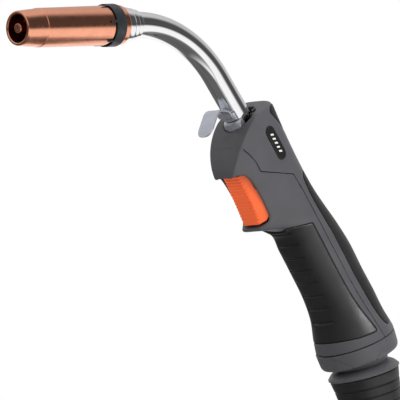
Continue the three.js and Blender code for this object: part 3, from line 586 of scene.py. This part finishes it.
def hollow_field(g, skin):
    """The room inside the two shells, with the trigger's slot, up to the guard's wall."""
    nose_wall = WALL + 0.6
    nose = nose_curve(nose_wall)
    view = [*nose, (LIP_X + 2, -FAR), (FAR * 4, -FAR), (FAR * 4, FAR), (HANDLE_FRONT + nose_wall, FAR)]
    front = np.maximum(np.maximum(skin + WALL, outline_field(view, g.x, g.z)), g.x - 84)
    rear = np.maximum(skin + WALL + GRIP_SKIN + 0.2, 70 - g.x)
    slot = np.maximum(np.maximum(skin + TRIGGER_INSET - 0.4, g.z + 16.6), np.abs(g.x - 56.4) - 18)
    return less(np.minimum(joined(front, rear, 1), slot), outline_field(GUARD_WALL, g.x, g.z), 0.5)


def before_collar(g, offset):
    """What lies ahead of the rear collar's front face, moved back by the offset."""
    lean = math.radians(REAR_PITCH - HANDLE_PITCH)
    edge = HANDLE_BACK + offset + (g.z - REAR_Z) * math.tan(lean)
    return (g.x - edge) * math.cos(lean)


def front_side(g):
    """What lies on the front shell's side of the parting line."""
    line = [(-FAR, -21.6), *smooth_line(PARTING_ARC, 6), *PARTING_STRIP]
    return outline_field([*line, (FAR * 4, -FAR), (-FAR, -FAR)], g.x, g.z)


def grip_regions(g):
    """The areas of the front grip, the back grip and the nose insert seen from the side."""
    front = rounded(FRONT_GRIP, [1.6, 1.6, 20, 20, 1.6, 6, 2])
    back = [*smooth_line(BACK_GRIP, 4), (177, FAR), (62, FAR)]
    insert = rounded(INSERT, [1.2, 1.2, 1, 0, 0])
    return [outline_field(line, g.x, g.z) for line in (front, back, insert)]


def badge_field(g):
    """The badge seen from the side: straight edges and round ends."""
    u, v = g.x - BADGE_AT[0], g.z - BADGE_AT[1]
    straight = (BADGE_LENGTH - BADGE_WIDTH) / 2
    return np.hypot(np.maximum(np.abs(u) - straight, 0), v) - BADGE_WIDTH / 2


def build_handle():
    g = Grid((9, -27.5, -36), (192, 27.5, 28), 0.5)
    skin = skin_field(g)
    view = outline_field(side_view(), g.x, g.z)
    edge, softest_edge = 0.9, 4.5
    crease = np.clip(edge + (g.z + 4) * 0.16, edge, softest_edge).astype(np.float32)
    outside = meet(skin, view, crease)
    outside = meet(outside, before_collar(g, -GAP), edge)
    regions = grip_regions(g)
    shells = less(outside, hollow_field(g, skin), 0.4)
    shells = less(shells, mouth_field(g), 0.7)
    for area in regions:
        sunk = meet(area - GAP / 2, -(skin + GRIP_SKIN + GAP), 0.3)
        shells = less(shells, sunk, 0.35)
    parting = front_side(g)
    on_nose = np.clip((view + 2.2) / 0.8, 0, 1)
    on_strip = np.clip((g.x - 88) / 8, 0, 1)
    seam = GAP / 2 - (GAP / 2 + 0.3) * on_nose - 0.06 * on_strip
    soft = 0.3 - 0.28 * on_nose
    back = meet(shells, seam - parting, soft)
    pocket = np.maximum(badge_field(g) - GAP, BADGE_FACE - BADGE_DEPTH - GAP - np.abs(g.y))
    back = less(back, pocket, 0.35)
    screw = np.maximum(np.hypot(g.x - SCREW_AT, g.y) - SCREW_R, -g.z)
    back = less(back, screw, 0.3)
    front = meet(shells, parting + seam, soft)
    across = np.hypot(g.x - PIVOT[0], g.z - PIVOT[1])
    boss = np.maximum(np.maximum(across - PIN_BOSS_R, 9.5 - np.abs(g.y)), skin + 1)
    front = joined(front, np.maximum(boss, parting + seam), 0.4)
    pin = np.maximum(across - 1.8, np.abs(g.y) - 12.6)
    front = less(front, pin, 0.3)
    field_piece("back_shell_body", HANDLE, back, g, LOOK["shell"], "handle", ["back_shell"], "shell")
    field_piece("front_shell_body", HANDLE, front, g, LOOK["shell"], "handle", ["front_shell"], "shell")

    cover = meet(outside, -(skin + GRIP_SKIN), 0.3)
    grips = [meet(cover, area + GAP / 2, 0.7) for area in regions]
    for i in range(GRIP_GROOVES):
        at = GRIP_GROOVE_FROM + i * GRIP_GROOVE_PITCH
        aside = np.maximum(np.abs(g.y) - GRIP_GROOVE_HALF, 0)
        groove = np.sqrt((g.x - at) ** 2 + aside ** 2 + skin ** 2) - 0.8
        grips[0] = less(grips[0], np.maximum(groove, g.z), 0.35)
    for node, field in zip(("front_grip", "back_grip", "nose_insert"), grips):
        field_piece(node + "_rubber", HANDLE, field, g, LOOK["rubber"], "handle", [node], "rubber")


def build_badges():
    g = Grid((20, 15.8, -5), (50, 18.8, 10.6), 0.2)
    plate = meet(badge_field(g), np.abs(g.y - (BADGE_FACE - BADGE_DEPTH / 2)) - BADGE_DEPTH / 2, 0.4)
    points, faces = surface(plate, g)
    for side, node in ((1, "badge_left"), (-1, "badge_right")):
        on_side = points * (1, side, 1)
        outward = faces if side > 0 else faces[:, ::-1]
        mesh_piece(node + "_plate", HANDLE, on_side, outward, LOOK["badge"], "handle", [node], "badge")
        badge_marks(side, node + "_marks")


def badge_marks(side, name):
    """Five plain slanted bars."""
    points, faces = [], []
    for i in range(BADGE_BARS):
        middle = (i - (BADGE_BARS - 1) / 2) * BADGE_BAR_PITCH
        for y in (BADGE_FACE - 0.1, BADGE_FACE + 0.08):
            for x, z in BADGE_BAR:
                points.append((BADGE_AT[0] + (middle + x), side * y, BADGE_AT[1] + z))
        n = i * 8
        box = [[0, 3, 2, 1], [4, 5, 6, 7], [0, 1, 5, 4], [1, 2, 6, 5], [2, 3, 7, 6], [3, 0, 4, 7]]
        faces += [[n + k for k in (f if side < 0 else f[::-1])] for f in box]
    mesh_piece(name, HANDLE, points, np.array(faces), BADGE_MARK.material, "handle", [], "badge")


def build_trigger():
    g = Grid((38, -14, -34), (75, 14, -15), 0.22)
    skin = skin_field(g)
    wave = 0.5 + 0.5 * np.cos(2 * math.pi * (g.x - TRIGGER_RIB_FROM) / TRIGGER_RIB_PITCH)
    worked = wave * np.clip((g.x - 40.6) / 0.6, 0, 1) * np.clip((72.2 - g.x) / 0.6, 0, 1)
    facing = np.clip((-25.5 - g.z) / 1.5, 0, 1)
    form = outline_field([*smooth_line(TRIGGER_FRONT, 5), *TRIGGER_BACK], g.x, g.z)
    front_x, front_z = TRIGGER_FRONT[0]
    behind = g.z - front_z + 0.6 + (g.x - front_x) * math.tan(math.radians(FRONT_FALL))
    cheeks = (np.abs(g.y) - FRONT_HALF - CHEEK_SPREAD * behind) / math.hypot(1, CHEEK_SPREAD)
    cheeks += TRIGGER_RIB_DEPTH * worked * np.clip((2.4 - behind) / 0.8, 0, 1)
    body = meet(skin + TRIGGER_INSET, form + TRIGGER_RIB_DEPTH * worked * facing, 0.5)
    body = meet(body, cheeks, 0.25)
    body = less(body, np.maximum(outline_field(TRIGGER_ROOM, g.x, g.z), np.abs(g.y) - 6.2), 0.4)
    ends = np.maximum(np.maximum(np.abs(g.x - 45.4) - 6.4, 9.2 - np.abs(g.y)), -23.5 - g.z)
    body = less(body, ends, 0.3)
    boss = np.maximum(np.maximum(np.abs(g.x - 59) - 1.8, np.abs(g.y) - 1.6), np.abs(g.z + 23.7) - 3)
    body = joined(body, boss, 0.3)
    body = less(body, np.hypot(g.x - PIVOT[0], g.z - PIVOT[1]) - 1.7, 0.2)
    field_piece("trigger_lever", HANDLE, body, g, LOOK["trigger"], "trigger", ["trigger"], "trigger")


# ---------- nozzle end ----------
def build_nozzle():
    outside = [
        (NOZZLE_LENGTH, NOZZLE_BORE_R), (NOZZLE_LENGTH, NOZZLE_R), (NOZZLE_STEP + 0.6, NOZZLE_R - 0.3),
        (NOZZLE_STEP + 0.15, NOZZLE_R - 0.6), (1.4, 10.95), (0, NOZZLE_MOUTH_R - 0.3), (0, MOUTH_BORE_R),
        (17, MOUTH_BORE_R), (20, NOZZLE_BORE_R),
    ]
    outline = rounded(outside, [0.2, 0.7, 0.25, 0.1, 6, 6, 0.8, 0.5, 1, 1])
    shape = turned(outline, 180)
    nozzle = mesh_piece("gas_nozzle_body", NOZZLE, *shape, LOOK["copper"], "nozzle", ["gas_nozzle"], "copper")
    cut_slots(nozzle)
    tip = [(28, 0.6), (28, 2.9), (21, 2.9), (21, 4), (8, 4), (1, 3.2), (0.3, 2.9), (0.3, 0.6)]
    shape = turned(rounded(tip, [0.1, 0.2, 0.1, 0.3, 1.5, 0.6, 0.3, 0.15]), 96)
    mesh_piece("contact_tip_body", NOZZLE, *shape, LOOK["copper"], "handle", ["contact_tip"], "copper")


def cut_slots(nozzle):
    """Slots round the back of the nozzle, each with a round end."""
    points, faces, rim = [], [], []
    front, hole = BAND_FROM - SLOT_AHEAD, BAND_FROM + BAND_WIDTH + 1
    for a in np.linspace(0, math.pi, 9):
        rim.append((front + SLOT_HALF * (1 - math.sin(a)), SLOT_HALF * math.cos(a)))
    for a in np.linspace(0.75 * math.pi, -0.75 * math.pi, 15):
        rim.append((hole + SLOT_HOLE_R * math.cos(a), -SLOT_HOLE_R * math.sin(a)))
    for i in range(NOZZLE_SLOTS):
        turn = math.radians(360 * i / NOZZLE_SLOTS + SLOT_TURN)
        c, s = math.cos(turn), math.sin(turn)
        n = len(points)
        for height in (NOZZLE_BORE_R - 3, NOZZLE_R + 3):
            for x, y in rim:
                points.append((x, y * c - height * s, y * s + height * c))
        count = len(rim)
        faces.append(list(range(n, n + count)))
        faces.append(list(range(n + 2 * count - 1, n + count - 1, -1)))
        for k in range(count):
            a, b = n + k, n + (k + 1) % count
            faces.append([b, a, a + count, b + count])
    mesh = bpy.data.meshes.new("slot_cutter")
    mesh.from_pydata([[c * MM for c in p] for p in points], [], faces)
    cutter = bpy.data.objects.new("slot_cutter", mesh)
    bpy.context.scene.collection.objects.link(cutter)
    cutter.matrix_world = NOZZLE
    bpy.context.view_layer.update()
    modifier = nozzle.modifiers.new("slots", "BOOLEAN")
    modifier.object = cutter
    modifier.solver = "EXACT"
    made = bpy.data.meshes.new_from_object(nozzle.evaluated_get(bpy.context.evaluated_depsgraph_get()))
    nozzle.modifiers.clear()
    nozzle.data = made
    made.set_sharp_from_angle(angle=math.radians(35))
    bpy.data.objects.remove(cutter)


def build_band():
    g = Grid((BAND_FROM - 6, -14.5, -14.5), (BAND_FROM + BAND_WIDTH + 1, 14.5, 14.5), 0.25)
    radius = np.hypot(g.y, g.z)
    inner = NOZZLE_R + GAP
    wall = np.maximum(radius - BAND_R, inner - radius)
    ring = meet(wall, np.abs(g.x - BAND_FROM - BAND_WIDTH / 2) - BAND_WIDTH / 2, 0.3)
    for i in range(NOZZLE_SLOTS):
        turn = math.radians(360 * i / NOZZLE_SLOTS + TONGUE_TURN)
        across = np.abs(g.y * math.cos(turn) + g.z * math.sin(turn)) - TONGUE_HALF
        beside = g.z * math.cos(turn) - g.y * math.sin(turn)
        length = np.abs(g.x - BAND_FROM + 1.5) - 3
        tongue = meet(np.maximum(across, -beside), length, 0.5)
        tongue = np.maximum(tongue, np.maximum(radius - BAND_R + 0.1, inner - radius))
        ring = np.minimum(ring, tongue)
    look = LOOK["blackened"]
    field_piece("nozzle_band_ring", NOZZLE, ring, g, look, "nozzle", ["nozzle_band"], "blackened")


def build_neck_collar():
    front = NOZZLE_LENGTH + GAP
    steps = [
        (97, 8.3), (97, 9.3), (93.7, 9.3), (93.7, 8.7), (93.3, 8.7), (93.3, 10.3), (89.8, 10.3), (89.8, 9.5),
        (89.3, 9.5), (89.3, 11), (front, 11), (front, 8.3),
    ]
    shape = turned(rounded(steps, [0.1, 1.5, 1.5, 0.1, 0.1, 1.6, 1.6, 0.1, 0.1, 1.8, 1.4, 0.1]), 160)
    mesh_piece("neck_collar_rings", NOZZLE, *shape, LOOK["chrome"], "handle", ["neck_collar"], "chrome")


def neck_path():
    """Centre line of the neck in the mouth's frame, as points and directions."""
    bend = math.radians((NECK_PITCH + NOZZLE_PITCH) / 2)
    tangent = BEND_R * math.tan(bend)
    corner = np.array(CORNER)
    start = corner + reach(-NOZZLE_PITCH, TUBE_FRONT - NOZZLE_REACH)
    bend_start = corner + reach(-NOZZLE_PITCH, -tangent)
    bend_end = corner + reach(NECK_PITCH, tangent)
    end = corner + reach(NECK_PITCH, NECK_STRAIGHT + TUBE_BACK)
    pitches = np.linspace(-NOZZLE_PITCH, NECK_PITCH, BEND_STEPS)
    centre = bend_start + reach(90 - NOZZLE_PITCH, BEND_R)
    bend_points = [centre - reach(90 + p, BEND_R) for p in pitches]
    front = [start + (bend_start - start) * t for t in (0, 0.25, 0.5, 0.75)]
    back = [bend_end + (end - bend_end) * t for t in (0.25, 0.5, 0.75, 1)]
    return [*front, *bend_points, *back], [-NOZZLE_PITCH] * 4 + list(pitches) + [NECK_PITCH] * 4


def build_tube():
    places, pitches = neck_path()
    sides, points = TUBE_SIDES, []
    for radius in (TUBE_R, TUBE_BORE_R):
        for (x, z), pitch in zip(places, pitches):
            up = (math.sin(math.radians(pitch)), math.cos(math.radians(pitch)))
            for k in range(sides):
                a = 2 * math.pi * k / sides
                rise = radius * math.sin(a)
                points.append((x + up[0] * rise, radius * math.cos(a), z + up[1] * rise))
    n, count = len(places), len(places) * sides
    faces = []
    for i in range(n - 1):
        for k in range(sides):
            a, b = i * sides + k, i * sides + (k + 1) % sides
            faces.append((a, b, b + sides, a + sides))
            faces.append((count + b, count + a, count + a + sides, count + b + sides))
    for k in range(sides):
        a, b = k, (k + 1) % sides
        faces.append((b, a, count + a, count + b))
        last = (n - 1) * sides
        faces.append((last + a, last + b, count + last + b, count + last + a))
    faces = np.array(faces)
    mesh_piece("swan_neck", MOUTH, points, faces, LOOK["chrome"], "handle", ["swan_neck_tube"], "chrome")


# ---------- hook and sleeve ----------
HOOK_THICKNESS = 1.3
HOOK_WIDTH = 13
HOOK_CLAMP_FROM = 4.5
HOOK_BEND = 5.6
HOOK_LEVEL = 2.4
HOOK_LEAN = 23.5
HOOK_TAB = 15


def hook_line():
    """Middle of the strip seen from the side, from the clamp to the end of the tab."""
    at = np.array(reach(NECK_PITCH, HOOK_CLAMP_FROM + 2))
    at = at + reach(NECK_PITCH + 90, TUBE_R + GAP + HOOK_THICKNESS / 2)
    heading = 180 + NECK_PITCH
    line = [tuple(at)]
    bends = ((2, 0), (0, NECK_PITCH), (HOOK_LEVEL, 0), (0, 90 - HOOK_LEAN), (HOOK_TAB, 0))
    for length, angle in bends:
        steps = 16 if angle else 1
        for _ in range(steps):
            share = angle / steps
            heading -= share / 2
            chord = length or 2 * HOOK_BEND * math.sin(math.radians(share) / 2)
            at = at + reach(heading, chord)
            heading -= share / 2
            line.append(tuple(at))
    return line


def build_hook():
    g = Grid((-25, -11, -28), (11, 11, 5), 0.22)
    c, s = math.cos(math.radians(NECK_PITCH)), math.sin(math.radians(NECK_PITCH))
    x, z = g.x * c - g.z * s, g.x * s + g.z * c
    radius = np.hypot(g.y, z)
    line = hook_line()
    half, lowest = HOOK_WIDTH / 2, min(height for _, height in line)
    corner = half - 1
    edge = np.hypot(np.maximum(np.abs(g.y) - 1, 0), np.maximum(lowest + corner - g.z, 0)) - corner
    edge = np.maximum(edge, np.abs(g.y) - half)
    strip = meet(distance_to(line, g.x, g.z) - HOOK_THICKNESS / 2, edge, 0.3)
    wall = np.maximum(radius - 9.6, TUBE_R + GAP - radius)
    clamp_to = SLEEVE_FROM - 0.5
    middle = (HOOK_CLAMP_FROM + clamp_to) / 2
    clamp = meet(wall, np.abs(x - middle) - (clamp_to - HOOK_CLAMP_FROM) / 2, 0.3)
    clamp = meet(clamp, np.maximum(z, np.abs(g.y) - half), 0.3)
    hook = less(joined(strip, clamp, 1.2), radius - TUBE_R - GAP, 0.2)
    field_piece("hanging_hook_sheet", MOUTH, hook, g, LOOK["steel"], "handle", ["hanging_hook"], "steel")


def distance_to(line, u, v):
    """Distance to an open line."""
    u, v = np.broadcast_arrays(u, v)
    nearest = np.full(u.shape, 1e9, np.float32)
    for (au, av), (bu, bv) in zip(line, line[1:]):
        du, dv = bu - au, bv - av
        t = np.clip(((u - au) * du + (v - av) * dv) / (du * du + dv * dv), 0, 1)
        nearest = np.minimum(nearest, (u - au - t * du) ** 2 + (v - av - t * dv) ** 2)
    return np.sqrt(nearest)


def build_sleeve():
    g = Grid((9, -12, -12), (28, 12, 2), 0.25)
    radius = np.hypot(g.y, g.z)
    inner = TUBE_R + GAP
    wall = [
        (27, inner), (27, SLEEVE_R), (14.5, SLEEVE_R),
        (12.1, SLEEVE_R - 0.7), (10.7, SLEEVE_R - 1.9), (SLEEVE_FROM, inner),
    ]
    sleeve = outline_field(rounded(wall, [0.1, 0.3, 4, 3, 1, 0.2]), g.x, radius)
    sleeve = meet(sleeve, np.abs(g.y) - SLEEVE_HALF, 0.3)
    sleeve = np.maximum(sleeve, g.z)
    field_piece("neck_sleeve_shell", NECK, sleeve, g, LOOK["steel"], "handle", ["neck_sleeve"], "steel")


# ---------- rear end ----------
COLLAR_PADS = (128, -128)  # middles of the two raised pads, in degrees round X from +Z towards -Y
COLLAR_PAD_EDGE = [(0.6, 47), (4, 35), (9, 20), (12, 20)]  # x, degrees from the middle of the pad
COLLAR_PAD_R = 25.7
COLLAR_GROOVE_R = 0.42


def collar_lines(g, ring):
    """Fine grooves down the two edges of each pad."""
    around = np.degrees(np.arctan2(-g.y, g.z))
    per_degree = math.radians(COLLAR_PAD_R)
    for middle in COLLAR_PADS:
        off = np.abs((around - middle + 180) % 360 - 180) * per_degree
        edge = smooth_line([(x, a * per_degree) for x, a in COLLAR_PAD_EDGE], 4)
        groove = np.hypot(distance_to(edge, g.x, off), ring) - COLLAR_GROOVE_R
        ring = less(ring, groove, 0.1)
    return ring


def build_collar():
    g = Grid((-1, -27, -27), (COLLAR_LENGTH + 1, 27, 27), 0.4)
    radius = np.hypot(g.y, g.z)
    outline = [(COLLAR_LENGTH, 15), (COLLAR_LENGTH, 18.8), (10.5, 25), (8.6, 25.7), (0, 26.2), (0, 15)]
    ring = outline_field(rounded(outline, [0.3, 0.5, 1.1, 3, 0.6, 0.3]), g.x, radius)
    ring = less(ring, np.maximum(radius - 24.2, g.x - 6.6), 0.3)
    ring = less(ring, np.sqrt((g.x - BALL_BACK) ** 2 + radius ** 2) - BALL_R - 0.4, 0.3)
    ring = collar_lines(g, ring)
    field_piece("rear_collar_ring", REAR, ring, g, LOOK["shell"], "handle", ["rear_collar"], "shell")


def build_ball():
    flange_back = BOOT_FROM - GAP
    neck_x = 7.6
    inner = CABLE_BORE_R + 1
    start = math.acos(neck_x / BALL_R)
    ball = [(BALL_R * math.cos(a), BALL_R * math.sin(a)) for a in np.linspace(start, math.pi * 0.77, 40)]
    flange = [(flange_back, inner), (flange_back, FLANGE_R), (11.8, FLANGE_R), (9.1, 20.8), (8, 18.8)]
    outline = [*rounded([*flange, ball[0]], [0.2, 0.5, 0.35, 5, 0.8, 0])[:-1], *ball, (ball[-1][0], inner)]
    look = LOOK["dark_plastic"]
    shape = turned(outline, 144)
    mesh_piece("ball_swivel_flange", BALL, *shape, look, "ball", ["ball_swivel"], "dark_plastic")


def build_boot():
    def radius_at(x):
        return BOOT_R - (BOOT_R - BOOT_END_R) * max((x - BOOT_FROM) / BOOT_LENGTH, 0) ** 0.8

    outline, radii = [(BOOT_FROM, radius_at(BOOT_FROM))], [0.8]
    groove_width = 1.1
    for i in range(BOOT_GROOVES):
        x = BOOT_FROM + BOOT_GROOVE_FROM + i * BOOT_GROOVE_PITCH
        deep, after = radius_at(x) - BOOT_GROOVE_DEPTH, x + groove_width
        outline += [(x, radius_at(x)), (x + 0.2, deep), (x + 0.9, deep), (after, radius_at(after))]
        radii += [0.3, 0.15, 0.15, 0.3]
        if i == BOOT_GROOVES - 1:
            break
        for share in (0.3, 0.6, 0.85):
            step = after + (BOOT_GROOVE_PITCH - groove_width) * share
            outline.append((step, radius_at(step)))
            radii.append(0)
    end = BOOT_FROM + BOOT_LENGTH
    outline += [(end, BOOT_END_R), (end, CABLE_BORE_R), (BOOT_FROM, CABLE_BORE_R + 1.6)]
    radii += [1.4, 0.8, 0.3]
    shape = turned(rounded(outline, radii), 128)
    mesh_piece("cable_boot_sleeve", BALL, *shape, LOOK["boot_rubber"], "boot", ["cable_boot"], "boot_rubber")


# ---------- camera, light and floor ----------
VIEW_AZIMUTH = -42
VIEW_ELEVATION = -4.5
VIEW_WIDTH = 0.25
LENS = 1000
LOOK_AT = Vector((-0.0861, 0.0163, 0.0340))
FLOOR_Z = -0.7
FLOOR_HALF = 12


def direction(azimuth, elevation):
    """From the object towards a place at that azimuth and elevation in degrees."""
    a, e = math.radians(azimuth), math.radians(elevation)
    return Vector((math.sin(a) * math.cos(e), -math.cos(a) * math.cos(e), math.sin(e)))


def build_camera():
    data = bpy.data.cameras.new("camera")
    data.lens = LENS
    data.clip_end = 100
    camera = bpy.data.objects.new("camera", data)
    bpy.context.scene.collection.objects.link(camera)
    back = direction(VIEW_AZIMUTH, VIEW_ELEVATION)
    camera.location = LOOK_AT + back * (VIEW_WIDTH * LENS / data.sensor_width)
    camera.rotation_euler = (-back).to_track_quat("-Z", "Y").to_euler()
    bpy.context.scene.camera = camera


def area_light(name, azimuth, elevation, distance, size, power, lit=()):
    """A soft lamp that shines on the object. lit: the only pieces that it lights and shows in."""
    data = bpy.data.lights.new(name, "AREA")
    data.shape = "RECTANGLE"
    data.size, data.size_y = size
    data.energy = power
    light = bpy.data.objects.new(name, data)
    bpy.context.scene.collection.objects.link(light)
    back = direction(azimuth, elevation)
    light.location = LOOK_AT + back * distance
    light.visible_glossy = bool(lit)
    if lit:
        only = bpy.data.collections.new(name + "_receivers")
        for piece in lit:
            only.objects.link(bpy.data.objects[piece])
        light.light_linking.receiver_collection = only
    light.rotation_euler = (-back).to_track_quat("-Z", "Y").to_euler()


# Brightness in reflections by height, from straight below at 0 to straight above at 1.
SKY = (
    (0.0, 0.8),
    (0.05, 1.0),
    (0.128, 1.0),
    (0.145, 0.25),
    (0.162, 1.0),
    (0.4, 0.95),
    (0.45, 0.5),
    (0.5, 0.45),
    (0.6, 0.6),
    (0.78, 0.5),
    (0.9, 0.6),
    (1.0, 0.75),
)


def build_world():
    """White for the camera, even light for matt surfaces, bright and dark areas for shiny ones."""
    world = bpy.data.worlds.new("studio")
    bpy.context.scene.world = world
    world.use_nodes = True
    nodes, links = world.node_tree.nodes, world.node_tree.links
    nodes.clear()
    place = nodes.new("ShaderNodeTexCoord").outputs["Generated"]
    split = nodes.new("ShaderNodeSeparateXYZ")
    links.new(place, split.inputs[0])
    x, y, z = split.outputs

    def stepped(value, start, end, low=0, high=1):
        made = nodes.new("ShaderNodeMapRange")
        made.interpolation_type = "SMOOTHSTEP"
        for name, number in (("From Min", start), ("From Max", end), ("To Min", low), ("To Max", high)):
            made.inputs[name].default_value = number
        links.new(value, made.inputs["Value"])
        return made.outputs["Result"]

    def worked(operation, first, second):
        made = nodes.new("ShaderNodeMath")
        made.operation = operation
        for socket, value in zip(made.inputs, (first, second)):
            if isinstance(value, (int, float)):
                socket.default_value = value
            else:
                links.new(value, socket)
        return made.outputs[0]

    def light(colour, strength):
        made = nodes.new("ShaderNodeBackground")
        if isinstance(colour, tuple):
            made.inputs["Color"].default_value = (*colour, 1)
        else:
            links.new(colour, made.inputs["Color"])
        made.inputs["Strength"].default_value = strength
        return made.outputs[0]

    def chosen(which, first, second):
        made = nodes.new("ShaderNodeMixShader")
        links.new(which, made.inputs["Fac"])
        links.new(first, made.inputs[1])
        links.new(second, made.inputs[2])
        return made.outputs[0]

    ramp = nodes.new("ShaderNodeValToRGB")
    while len(ramp.color_ramp.elements) < len(SKY):
        ramp.color_ramp.elements.new(0.5)
    for element, (at, value) in zip(ramp.color_ramp.elements, SKY):
        element.position = at
        element.color = (value, value, value, 1)
    height = worked("MULTIPLY_ADD", z, 0.5)
    height.node.inputs[2].default_value = 0.5
    links.new(height, ramp.inputs["Fac"])
    under = worked("MULTIPLY", stepped(z, -0.6, -0.8), stepped(x, -0.3, 0.1))
    side = worked("SUBTRACT", y, worked("MULTIPLY", x, 1.9))
    behind = worked("MULTIPLY", stepped(side, -0.1, 0.35), stepped(z, 0.0, -0.1))
    before = worked("MULTIPLY", stepped(y, -0.1, -0.5), stepped(x, -0.3, 0.1))
    before = worked("MULTIPLY", before, stepped(z, -0.14, 0.02))
    skyline = worked("MULTIPLY", stepped(worked("ABSOLUTE", z, 0), 0.2, 0.05), stepped(x, 0, -0.3))
    dark = worked("MAXIMUM", worked("MAXIMUM", under, behind), worked("MAXIMUM", before, skyline))
    dark = worked("MULTIPLY", dark, 0.9)
    tone = nodes.new("ShaderNodeMix")
    tone.data_type = "RGBA"
    links.new(dark, tone.inputs[0])
    links.new(ramp.outputs["Color"], tone.inputs[6])
    tone.inputs[7].default_value = (0.02, 0.02, 0.02, 1)
    shiny = light(tone.outputs[2], 1.2)
    soft_tone = nodes.new("ShaderNodeCombineColor")
    level = stepped(z, -1, 0.6, 0.22, 0.9)
    for socket in soft_tone.inputs[:3]:
        links.new(level, socket)
    path = nodes.new("ShaderNodeLightPath")
    seen = chosen(path.outputs["Is Diffuse Ray"], shiny, light(soft_tone.outputs[0], 1))
    seen = chosen(path.outputs["Is Camera Ray"], seen, light((1, 1, 1), 1))
    out = nodes.new("ShaderNodeOutputWorld")
    links.new(seen, out.inputs["Surface"])


def build_floor():
    """A pale floor that is clear when seen from below, because the camera looks up at the object."""
    mesh = bpy.data.meshes.new("floor")
    corners = [(x * FLOOR_HALF, y * FLOOR_HALF, 0) for x, y in ((-1, -1), (1, -1), (1, 1), (-1, 1))]
    mesh.from_pydata(corners, [], [(0, 1, 2, 3)])
    floor = bpy.data.objects.new("floor", mesh)
    bpy.context.scene.collection.objects.link(floor)
    floor.location.z = FLOOR_Z
    floor.visible_glossy = False
    look = bpy.data.materials.new("pale_floor")
    look.use_nodes = True
    nodes, links = look.node_tree.nodes, look.node_tree.links
    shader = nodes["Principled BSDF"]
    shader.inputs["Base Color"].default_value = (0.8, 0.8, 0.8, 1)
    shader.inputs["Roughness"].default_value = 0.9
    clear = nodes.new("ShaderNodeBsdfTransparent")
    below = nodes.new("ShaderNodeNewGeometry").outputs["Backfacing"]
    mix = nodes.new("ShaderNodeMixShader")
    links.new(below, mix.inputs["Fac"])
    links.new(shader.outputs[0], mix.inputs[1])
    links.new(clear.outputs[0], mix.inputs[2])
    links.new(mix.outputs[0], nodes["Material Output"].inputs["Surface"])
    mesh.materials.append(look)


def finish_cad_nodes():
    """Gives the inner pieces, which keep their CAD shape, the look that the record names."""
    slots = {row["node"]: row["material_slot"] for row in frame["record"]["subparts"]}
    for name, node in frame["nodes"].items():
        if node.hide_render:
            continue
        node.data.materials.clear()
        node.data.materials.append(LOOK[slots[name]])


bpy.context.scene.view_settings.view_transform = "Standard"
build_camera()
build_world()
build_floor()
area_light("key", 12, 25, 1.4, (0.9, 1.2), 20)
area_light("fill", -110, 10, 1.6, (1.2, 1.2), 1.2)
area_light("top", -60, 75, 1.5, (1.5, 1.5), 7)
area_light("back", 160, 30, 1.5, (1.0, 1.0), 12)
build_handle()
build_badges()
build_trigger()
build_nozzle()
build_band()
build_neck_collar()
build_tube()
build_hook()
build_sleeve()
build_collar()
build_ball()
build_boot()
area_light("sheen", 18, 14, 1.3, (0.22, 0.5), 16, lit=("front_grip_rubber",))
finish_cad_nodes()
